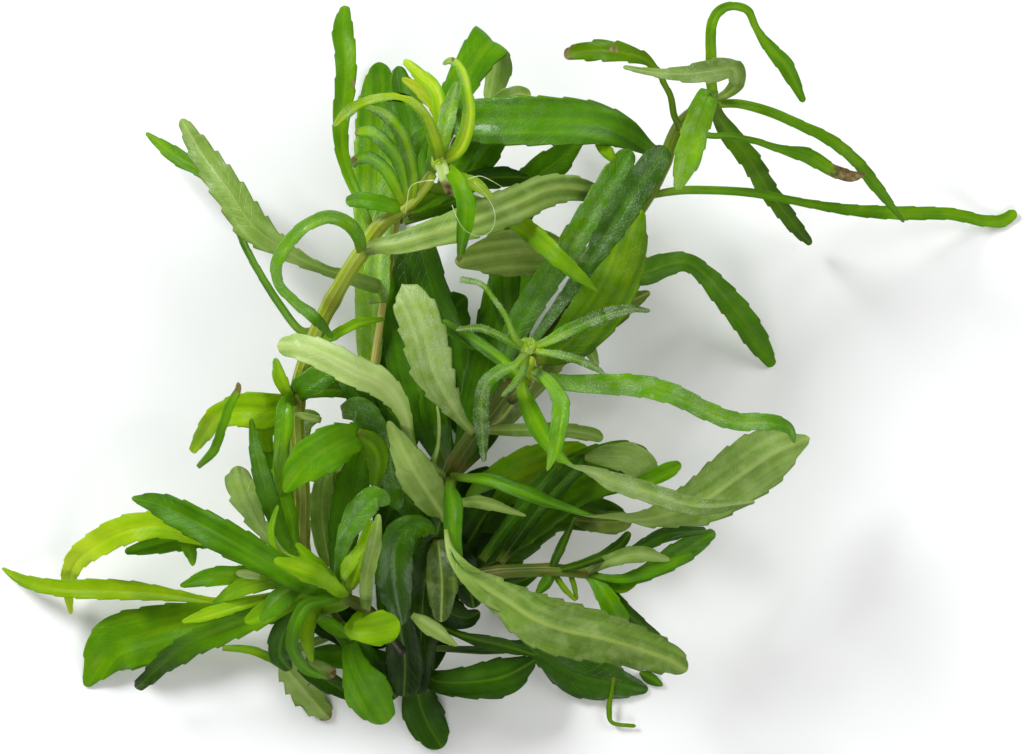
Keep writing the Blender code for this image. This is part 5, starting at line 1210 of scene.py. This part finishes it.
# the darkest leaves of this set stand for the shade deep in the bunch: their low tones are painted shade
innerLeaves = {  # in the heart of the bunch: seen as patches between the others
    "behindCross": {"tone": (0.2, 0.26, 0.32, 0.36), "route": [(405, 222, 17, 1.5), (430, 210, 20, 3.5),
        (452, 193, 24, 6.5), (472, 168, 28, 8), (492, 142, 32, 7), (505, 125, 33, 3)]},
    "leftOfCross": {"tone": (0.4, 0.46, 0.5), "ribWide": 0.6, "route": [(440, 190, 30, 2),
        (455, 165, 34, 5.5), (468, 140, 36, 6), (480, 118, 37, 3)]},
    "bractLeaf": {"tone": (0.55, 0.5, 0.45), "warm": 0.3, "route": [(410, 212, 50, 1.6), (422, 203, 50, 4),
        (438, 194, 50, 5), (455, 190, 48, 2.4)]},
    "underBract": {"tone": (0.28, 0.25), "warm": 0.2, "route": [(408, 218, 46, 1.4), (425, 212, 45, 3.4),
        (450, 203, 44, 4.4), (468, 196, 42, 1.6)]},
    "darkBand": {"tone": (0.15, 0.2), "route": [(455, 184, 30, 2), (475, 180, 30, 4.5), (505, 177, 30, 5),
        (530, 178, 30, 1)]},
    "smallBright": {"tone": (0.6, 0.7), "route": [(597, 144, 42, 1.2), (607, 152, 43, 3),
        (617, 163, 42, 0.9)]},
    "yellowBrown": {"tone": (0.6, 0.75, 0.8), "warm": 0.6, "route": [(442, 150, 44, 2), (440, 112, 42, 4),
        (425, 93, 40, 4), (402, 78, 38, 1)]},
    "paleTip": {"kind": "pale", "tone": (0.4, 0.45), "frost": (0.2, 0.4), "route": [(486, 116, 36, 3),
        (503, 101, 37, 4.6), (518, 94, 38, 4), (531, 96, 38, 2.2)]},
    "middleBack": {"tone": (0.2, 0.3, 0.36, 0.36), "route": [(448, 470, 20, 3), (432, 425, 16, 9),
        (415, 375, 14, 12), (405, 315, 13, 11), (402, 262, 13, 5)]},
    "behindPaleCross": {"kind": "glossy", "tone": (0.24, 0.26, 0.3, 0.32), "route": [(418, 236, 21, 6),
        (424, 262, 21, 7.5), (436, 300, 20, 7.5), (456, 332, 18, 4), (475, 350, 17, 1.6)]},
    # the near-black tone of darkStripe is painted shade in the gap beside the back stem
    "darkStripe": {"kind": "glossy", "tone": (0.12, 0.14), "route": [(404, 245, 20, 4), (405, 275, 20, 4.6),
        (410, 300, 19, 2)]},
    "roundedTip": {"tone": (0.5, 0.6), "route": [(630, 486, 24, 1.6), (652, 478, 25, 3.9),
        (668, 470, 25, 3.9), (681, 464, 24, 1.8)]},
    "lowBand": {"kind": "pale", "tone": (0.25, 0.3, 0.35, 0.4), "ribWide": 0.5, "route": [
        (488, 430, 31, 2), (520, 430, 31, 3), (560, 430, 30, 3.4), (590, 434, 29, 3.4), (603, 439, 28, 2)]},
    "darkLowBand": {"tone": (0.1, 0.16, 0.2), "ribWide": 0.5, "route": [(500, 562, 19, 2),
        (520, 535, 21, 3), (545, 500, 23, 4), (575, 468, 23.5, 4.4), (585, 455, 23.5, 1.4)]},
    "secondLowBand": {"tone": (0.2, 0.26, 0.3), "ribWide": 0.5, "route": [(482, 560, 19, 2),
        (505, 528, 21, 2.6), (535, 490, 23, 3.4), (556, 466, 23, 2)]},
    "oliveUpper": {"tone": (0.26, 0.46, 0.6, 0.58), "warm": 0.3, "ribWide": 0.5, "route": [
        (466, 535, 12, 4), (486, 498, 15, 9), (518, 476, 18, 11), (552, 462, 20, 10), (590, 450, 20, 4)]},
    "paleEnd": {"kind": "pale", "tone": (0.36, 0.54, 0.56), "ribWide": 0.4, "frost": (0.2, 0.3), "route": [
        (585, 458, 24, 1.4), (605, 456, 25, 5), (628, 458, 25, 7.5), (642, 468, 24, 7.5),
        (648, 480, 23, 4)]},
    "oliveTail": {"kind": "pale", "tone": (0.1, 0.2, 0.24), "warm": 0.3, "ribWide": 0.4, "route": [
        (575, 520, 14, 2), (595, 522, 15, 5), (618, 522, 15, 5.4), (632, 518, 14, 2.4)]},
    "shortPale": {"kind": "pale", "tone": (0.5, 0.6), "route": [(446, 498, 30, 1.4), (460, 502, 32, 1.8),
        (485, 503, 32, 3.1), (526, 516, 31, 0.6)]},
    "palePiece": {"kind": "pale", "tone": (0.4, 0.5), "route": [(572, 322, 17, 2), (585, 342, 17, 4),
        (598, 366, 16, 1.2)]},
    "deadTipped": {"tone": (0.55, 0.6), "dead": 0.93, "route": [(199, 466, 30, 1.2), (214, 450, 36, 2.2),
        (222, 428, 41, 2.2), (230, 405, 44, 2.2), (238, 390, 45, 1.6), (238, 382, 45, 0.8)]},
    "oliveBend": {"tone": (0.42, 0.48, 0.42), "warm": 0.5, "route": [(355, 436, 37, 4), (372, 446, 36, 6),
        (378, 462, 35, 5), (374, 487, 32, 2)]},
    "nodeBack": {"tone": (0.3, 0.32, 0.34), "warm": 0.3, "ribWide": 0.5, "route": [(302, 393, 28, 2.6),
        (325, 390, 28, 3.4), (350, 391, 27, 3.6), (372, 396, 26, 2)]},
    "nodeBackHigh": {"tone": (0.3, 0.34, 0.3), "route": [(340, 378, 30, 2), (352, 388, 31, 5),
        (362, 402, 31, 6), (372, 420, 30, 3)]},
    # the whitish frost on this bent leaf stands for a pale highlight: painted highlight
    "frostAndSheenBend": {"kind": "glossy", "tone": (0.42, 0.46, 0.4, 0.3), "frost": (0.5, 0.6, 0.1),
        "ribWide": 0.4, "route": [(342, 412, 31, 3), (358, 410, 33, 6), (372, 424, 33, 6.5),
        (380, 445, 31, 5), (378, 470, 28, 2)]},
    "stemBackLeaf": {"kind": "pale", "tone": (0.12, 0.16, 0.2), "ribWide": 0.3, "route": [
        (300, 520, 12, 2), (285, 470, 12, 6), (300, 425, 12, 6.5), (320, 415, 12, 2)]},
    "blueGreen": {"kind": "glossy", "tone": (0.3, 0.38, 0.36), "frost": (0.5, 0.5), "route": [
        (376, 430, 27, 3), (388, 450, 26, 5.5), (393, 480, 24, 6), (398, 510, 22, 3)]},
    "underRibbed": {"tone": (0.22, 0.26, 0.26), "route": [(378, 545, 14, 2), (388, 515, 15, 7),
        (402, 495, 16, 9), (425, 520, 17, 6), (435, 535, 16, 2)]},
    "behindUpright": {"tone": (0.36, 0.42, 0.4), "ribWide": 0.6, "route": [(345, 600, 16, 3),
        (342, 560, 19, 6), (345, 520, 21, 7.5), (354, 480, 22, 8), (362, 452, 22, 4)]},
    "brightBehind": {"tone": (0.72, 0.78, 0.7), "ribWide": 0.5, "route": [(350, 588, 22, 2),
        (357, 568, 24, 4.4), (365, 545, 24, 4), (372, 520, 23, 2)]},
    "behindInner": {"tone": (0.2, 0.24, 0.2), "ribWide": 0.5, "route": [(408, 655, 12, 4),
        (405, 620, 14, 8), (408, 575, 16, 9), (418, 540, 18, 5)]},
    "behindInnerLow": {"tone": (0.22, 0.26), "ribWide": 0.5, "route": [(386, 560, 20, 3),
        (385, 590, 19, 4.4), (392, 625, 17, 5), (400, 650, 15, 2)]},
    "paleSliver": {"kind": "pale", "tone": (0.6, 0.6), "route": [(320, 420, 40, 1.4), (307, 417, 42, 2),
        (293, 413, 43, 0.7)]},
    "paleBack": {"kind": "pale", "tone": (0.22, 0.34, 0.42, 0.42), "ribWide": 0.5, "route": [
        (330, 566, 13, 3), (324, 535, 14, 5.4), (322, 500, 15, 6), (328, 463, 16, 3)]},
    "paleBackSecond": {"kind": "pale", "tone": (0.3, 0.4, 0.42), "ribWide": 0.4, "route": [
        (338, 540, 12, 2), (337, 505, 13, 4), (338, 460, 14, 2.4)]},
    "lowerNodeLeaf": {"tone": (0.66, 0.72, 0.66), "ribWide": 0.5, "route": [(282, 404, 33, 2),
        (268, 416, 34, 5.4), (264, 436, 33, 4.6), (270, 452, 31, 2)]},
    "sideBack": {"tone": (0.4, 0.42, 0.4), "route": [(300, 540, 20, 2), (285, 500, 24, 4.4),
        (272, 462, 26, 4.4), (262, 432, 26, 2)]},
    "slimInner": {"tone": (0.5, 0.55), "route": [(297, 548, 30, 1.6), (288, 507, 34, 3.5),
        (279, 485, 35, 3.4), (272, 469, 35, 0.9)]},
    "thinCurl": {"tone": (0.6, 0.65), "route": [(290, 560, 40, 1.2), (276, 550, 42, 1.4),
        (271, 530, 42, 1.6), (278, 505, 41, 0.8)]},
    "leftSecond": {"tone": (0.45, 0.5, 0.5), "route": [(262, 547, 26, 2), (220, 538, 22, 4.6),
        (180, 538, 22, 6.2), (150, 546, 20, 4.2), (125, 552, 18, 1.4)]},
    "leftHanging": {"tone": (0.5, 0.6), "route": [(182, 541, 25, 2), (190, 550, 25, 3.2),
        (193, 566, 23, 0.9)]},
    "leftThird": {"tone": (0.55, 0.58, 0.42), "route": [(262, 571, 31, 2), (240, 575, 30, 4.4),
        (210, 577, 30, 4.4), (180, 586, 29, 1)]},
    "paleStalk": {"kind": "pale", "tone": (0.75, 0.8), "ribWide": 0.3, "route": [(262, 577, 33, 1.4),
        (248, 574, 34, 2.2), (236, 573, 34, 1.4)]},
    "brightLow": {"tone": (0.62, 0.72, 0.7), "ribWide": 0.6, "route": [(296, 590, 32, 2), (280, 603, 33, 4),
        (262, 614, 33, 5), (245, 622, 32, 1.4)]},
    "lowYellow": {"tone": (0.6, 0.66, 0.6), "warm": 0.3, "ribWide": 0.5, "route": [(322, 602, 20, 2),
        (308, 622, 21, 4), (308, 645, 20, 3), (312, 662, 17, 1)]},
    "lowGreen": {"tone": (0.46, 0.5, 0.42), "ribWide": 0.6, "route": [(318, 618, 22, 2),
        (332, 626, 22, 3.6), (350, 636, 21, 2)]},
    "lowShade": {"tone": (0.1, 0.12, 0.12), "route": [(300, 605, 12, 4), (330, 620, 11, 9),
        (365, 632, 10, 9), (392, 640, 9, 4)]},
    "lowLeftShade": {"tone": (0.25, 0.28, 0.2), "route": [(300, 612, 22, 3), (284, 632, 20, 6),
        (280, 655, 16, 5), (290, 670, 12, 2)]},
    "loneStalk": {"tone": (0.55, 0.6, 0.4), "warm": 0.3, "route": [(223, 648, 12, 1.3), (245, 649, 13, 1.9),
        (265, 655, 13, 2.3), (287, 668, 10, 2)]},
    "underPale": {"kind": "pale", "tone": (0.3, 0.4, 0.3), "dead": 0.8, "ribWide": 0.4, "route": [
        (306, 662, 14, 2), (320, 669, 15, 4), (336, 674, 14, 3)]},
    # the dark tone of darkUnderPale is painted shade under the pale leaf above it
    "darkUnderPale": {"tone": (0.12, 0.18, 0.14), "route": [(300, 665, 10, 3), (322, 678, 9, 5.4),
        (342, 690, 7, 4), (352, 698, 5, 2)]},
    "yellowLow": {"tone": (0.75, 0.85), "route": [(270, 597, 30, 1.4), (235, 606, 28, 3), (205, 615, 27, 3),
        (182, 622, 26, 0.8)]},
    "brightUpright": {"kind": "young", "tone": (0.7, 0.8), "route": [(343, 580, 39, 1.2),
        (350, 562, 42, 3.4), (366, 543, 43, 0.9)]},
    "lowAcross": {"tone": (0.42, 0.42, 0.25), "ribWide": 0.5, "route": [(306, 655, 11, 2.4),
        (330, 656, 11, 5.5), (362, 656, 10, 5.5), (398, 660, 8, 2)]},
    # greyGreen and the near-black leaves after it: their near-black tones are painted shade deep in the
    # bunch
    "greyGreen": {"kind": "pale", "tone": (0.04, 0.1, 0.08), "route": [(438, 540, 25, 2.4),
        (440, 558, 27, 6), (442, 585, 28, 7.7), (441, 622, 26, 3)]},
    "nearBlack": {"tone": (0.05, 0.08), "route": [(445, 535, 18, 2.4), (460, 560, 16, 7),
        (470, 590, 14, 6.5), (474, 608, 13, 3)]},
    "nearBlackLow": {"tone": (0.04, 0.06), "route": [(425, 590, 13, 5), (445, 610, 13, 8),
        (466, 618, 12, 5), (480, 612, 12, 2)]},
    "nearBlackHigh": {"tone": (0.07, 0.1), "route": [(455, 570, 13, 4), (470, 540, 14, 9),
        (492, 508, 15, 9), (520, 500, 16, 4)]},
    "paleHatched": {"kind": "pale", "tone": (0.5, 0.6), "route": [(412, 615, 26, 1.4), (432, 628, 25, 4),
        (457, 646, 22, 0.8)]},
    "lowRightSecond": {"tone": (0.2, 0.28), "route": [(428, 620, 13, 1.3), (458, 634, 16, 1.8),
        (482, 641, 16, 3.2), (505, 646, 15, 3.4), (535, 655, 12, 1)]},
    "shootExtra": {"tone": (0.5, 0.55), "route": [(596, 577, 30, 1.4), (620, 588, 31, 2.6),
        (642, 578, 31, 0.8)]},
    "shootStalkOne": {"tone": (0.5,), "warm": 0.5, "route": [(554, 573, 27, 1.2), (564, 588, 28, 1.5),
        (576, 601, 28, 0.8)]},
    "shootStalkTwo": {"tone": (0.5,), "warm": 0.5, "route": [(570, 573, 28, 1.1), (574, 586, 28, 1.3),
        (577, 600, 27, 0.8)]},
    "shootDark": {"tone": (0.15, 0.2), "route": [(500, 585, 21, 1.4), (518, 582, 21, 4),
        (538, 574, 22, 1)]},
    "fragment": {"tone": (0.3, 0.35), "route": [(640, 672, 1.2, 1), (650, 678, 1.4, 3),
        (663, 686, 1.2, 0.8)]},
    # near-black tones at the base, among the cut stems: painted shade
    "baseDarkOne": {"tone": (0.03, 0.1), "route": [(420, 640, 8, 3), (405, 665, 8, 7), (396, 695, 5, 4)]},
    "baseDarkTwo": {"tone": (0.03, 0.06), "route": [(418, 625, 6, 4), (430, 640, 5, 9), (424, 665, 4, 6),
        (412, 690, 3, 4)]},
    # the whitish frost on backBlade stands for its bluish sheen: painted sheen
    "backBlade": {"kind": "glossy", "tone": (0.62, 0.7, 0.7, 0.62), "frost": (0.8, 0.8), "stripes": 0.8,
        "route": [(378, 303, 19.5, 4), (377, 290, 20, 6), (377, 265, 20, 6.4), (380, 235, 19, 6),
        (384, 205, 18, 3)]},
    # coverStem, baseCover and baseLeft: dark tones over the lower stems, painted shade
    "coverStem": {"tone": (0.1, 0.08, 0.08, 0.05), "warm": 0.2, "ribWide": 0.5, "route": [
        (450, 478, 29.5, 3), (438, 530, 25, 7), (425, 580, 21.5, 8), (421, 640, 17, 8),
        (416, 694, 11.5, 5)]},
    "baseCover": {"tone": (0.12, 0.06, 0.04), "route": [(398, 590, 25, 3), (400, 625, 22, 7),
        (405, 660, 18, 9), (404, 696, 12.5, 6)]},
    "baseLeft": {"tone": (0.3, 0.2, 0.1), "route": [(338, 624, 21, 3), (358, 650, 19, 6),
        (380, 675, 15, 6.5), (396, 698, 10.5, 4)]},
    "fillOne": {"tone": (0.2, 0.34, 0.38, 0.36), "ribWide": 0.5, "route": [(470, 440, 14, 4),
        (455, 390, 10, 11), (446, 340, 9, 12), (455, 308, 9, 8), (466, 296, 9, 3)]},
    "fillTwo": {"tone": (0.25, 0.36, 0.4, 0.38), "ribWide": 0.6, "route": [(500, 400, 12, 4),
        (500, 350, 10, 12), (508, 300, 10, 12), (518, 262, 11, 9), (535, 225, 12, 3)]},
    "fillThree": {"tone": (0.15, 0.28, 0.32, 0.3), "warm": 0.2, "route": [(455, 470, 12, 4),
        (478, 432, 9, 9), (500, 385, 8, 11), (545, 355, 9, 9), (590, 335, 10, 3)]},
    "fillFour": {"tone": (0.2, 0.36, 0.4, 0.36), "ribWide": 0.6, "route": [(383, 430, 12, 4),
        (390, 380, 10, 10), (392, 330, 8, 9), (392, 280, 7, 8), (388, 245, 6, 4)]},
    "fillFive": {"tone": (0.1, 0.16, 0.2), "route": [(430, 560, 14, 4), (452, 522, 10, 10),
        (478, 490, 9, 10), (520, 470, 10, 3)]},
    "fillSix": {"tone": (0.2, 0.36, 0.42), "ribWide": 0.6, "route": [(400, 470, 14, 4), (402, 430, 13, 9),
        (412, 395, 14, 8), (420, 365, 14, 3)]},
    "fillSeven": {"tone": (0.28, 0.38, 0.4), "ribWide": 0.6, "route": [(452, 470, 16, 3), (440, 440, 16, 6),
        (432, 405, 17, 6), (430, 380, 17, 2)]},
    "thinPale": {"kind": "pale", "tone": (0.5, 0.6), "ribWide": 0.3, "route": [(432, 465, 34, 1.6),
        (438, 445, 36, 0.9), (439, 420, 37, 0.8), (437, 405, 37, 0.5)]},
    "archBack": {"kind": "glossy", "tone": (0.2, 0.28, 0.3), "route": [(330, 362, 30, 3),
        (345, 380, 30, 4.5), (372, 405, 30, 4.4), (392, 430, 29, 4), (404, 448, 28, 1.6)]},
    "farOlive": {"tone": (0.42, 0.5, 0.5), "warm": 0.35, "ribWide": 0.6, "route": [(560, 345, 20, 4),
        (580, 320, 22, 8), (605, 290, 24, 9), (625, 268, 24, 6), (640, 255, 23, 2)]},
}

turnedOver = {  # the strip of underside that shows in front where a leaf turns over
    "bigPaleLeaf": {"kind": "pale", "tone": (0.6, 0.54, 0.42, 0.34), "ribWide": 0.3, "sides": 0.02,
        "toothDepth": 0.2, "route": [(446, 530, 47.6, 0.9), (449, 547, 49.9, 1.7), (457, 562, 51.5, 3.2),
        (471, 577, 51.9, 4.8), (489, 591, 51.2, 6.2), (511, 605, 50.2, 5)]},
}


# stems, buds and hairs

stems = {
    "left_stem": {"slot": "stem", "skin": "stemSkin", "knots": (0.14, 0.34, 0.56, 0.74, 0.88), "route": [
        (398, 690, 5, 3.7), (340, 630, 14, 3.7), (305, 560, 22, 3.7), (302, 490, 30, 3.7),
        (297, 400, 37, 3.7), (318, 330, 42, 3.7), (345, 278, 45, 3.6), (362, 252, 46, 3.8),
        (380, 226, 48, 3.2), (408, 204, 50, 3.1), (425, 185, 52, 2.8), (432, 174, 53, 2.4)]},
    "right_stem": {"slot": "stem", "skin": "brownStemSkin", "knots": (0.2, 0.36, 0.5, 0.7, 0.88), "route": [
        (418, 690, 8, 4.4), (421, 640, 13, 4.3), (425, 580, 18, 4.1), (450, 475, 26, 4),
        (508, 388, 32, 3.8), (580, 290, 36, 3.6), (650, 192, 38, 3.2), (680, 125, 40, 3),
        (716, 100, 44, 2.4)]},
    "back_stem": {"slot": "tan_stem", "skin": "tanStemSkin", "knots": (0.3, 0.6), "route": [
        (410, 684, 12.5, 2), (398, 620, 13, 2), (380, 500, 14, 2), (372, 400, 15, 2),
        (379, 330, 16, 1.7), (388, 275, 16, 1.7), (398, 215, 15, 1.6)]},
    "rosette_stem": {"slot": "stem", "skin": "stemSkin", "knots": (0.5,), "route": [
        (512, 400, 37, 2.4), (524, 388, 43, 2.4), (532, 374, 50, 2.2), (531, 360, 55, 2)]},
    "low_left_shoot": {"slot": "stem", "skin": "brownStemSkin", "knots": (0.45, 0.75), "route": [
        (402, 652, 19, 2.6), (370, 612, 24, 2.6), (345, 597, 30, 2.6), (320, 578, 36, 2.4),
        (300, 558, 40, 2)]},
    "side_shoot": {"slot": "stem", "skin": "brownStemSkin", "knots": (0.4, 0.72, 0.95), "route": [
        (439, 582, 20, 3.1), (500, 572, 24, 3.1), (553, 570, 28, 2.9), (592, 573, 30, 2.4)]},
}
buds = {  # centre, size in mm, tone
    "rosette": ((528, 346, 60), 4.0, 0.85),
    "left_crown": ((441, 161, 56), 4.6, 0.95),
}
longHairs = {  # pale hairs that curl at the crown
    "overCross": [(452, 205, 66, 0.16), (458, 220, 66, 0.16), (465, 230, 65, 0.16), (478, 236, 63, 0.16),
                  (490, 232, 62, 0.16), (495, 220, 61, 0.16), (493, 207, 60, 0.16), (484, 193, 60, 0.14),
                  (474, 182, 60, 0.12)],
    "rightTop": [(468, 179, 60, 0.16), (480, 176, 60, 0.16), (492, 181, 59, 0.16), (502, 187, 58, 0.12)],
    "leftNode": [(440, 180, 61, 0.16), (425, 181, 60, 0.16), (414, 184, 58, 0.16), (409, 190, 57, 0.16),
                 (407, 203, 56, 0.16), (405, 215, 54, 0.12)],
}


# the pieces

seeds = {}


def shapesOf(leafSet):
    shapes = []
    for name, leaf in leafSet.items():
        seed = seeds.setdefault(name, len(seeds) + 1)
        shapes.append(leafShape({**leaf, "seed": seed}))
    return shapes


def nodeName(name):  # tallLeaf becomes tall_leaf
    return "".join("_" + letter.lower() if letter.isupper() else letter for letter in name)


def pieceName(node):  # tall_leaf becomes tallLeaf
    first, *others = node.split("_")
    return first + "".join(word.capitalize() for word in others)


standing = {**topLeftLeaves, **topRightLeaves, **centreLeaves, **leftLeaves, **bottomLeaves}
for name, leaf in standing.items():
    strip = {name + "Turn": turnedOver[name]} if name in turnedOver else {}
    makePiece(name, shapesOf({name: leaf, **strip}), [nodeName(name)])
print("leaves that stand alone are made:", len(standing))

carried = {
    "left_stem": nodeLeaves, "rosette_stem": stripedLeaves, "low_left_shoot": lowShootLeaves,
    "side_shoot": sideShootLeaves,
}
for node, stem in stems.items():
    makePiece(pieceName(node), [stemShape(stem)] + shapesOf(carried.get(node, {})), [node])
print("stems are made:", len(stems))

crown = makePiece("crown", [budShape(*buds["left_crown"])] + shapesOf(crownLeaves), ["left_crown"])
rosette = makePiece("rosette", [budShape(*buds["rosette"])] + shapesOf(rosetteLeaves), ["rosette"])
curls = [stemShape({"skin": "bristle", "knots": (), "around": 6, "route": route})
         for route in longHairs.values()]
makePiece("crownHairs", [bristleShape(crown)] + curls, ["left_crown"])
makePiece("rosetteHairs", [bristleShape(rosette)], ["rosette"])
makePiece("bottomRightLeaf", shapesOf(lowRightLeaves), ["bottom_right_leaf"])
makePiece("innerLeaves", shapesOf(innerLeaves), ["middle_back_leaf"])
print("crown, rosette and inner leaves are made")
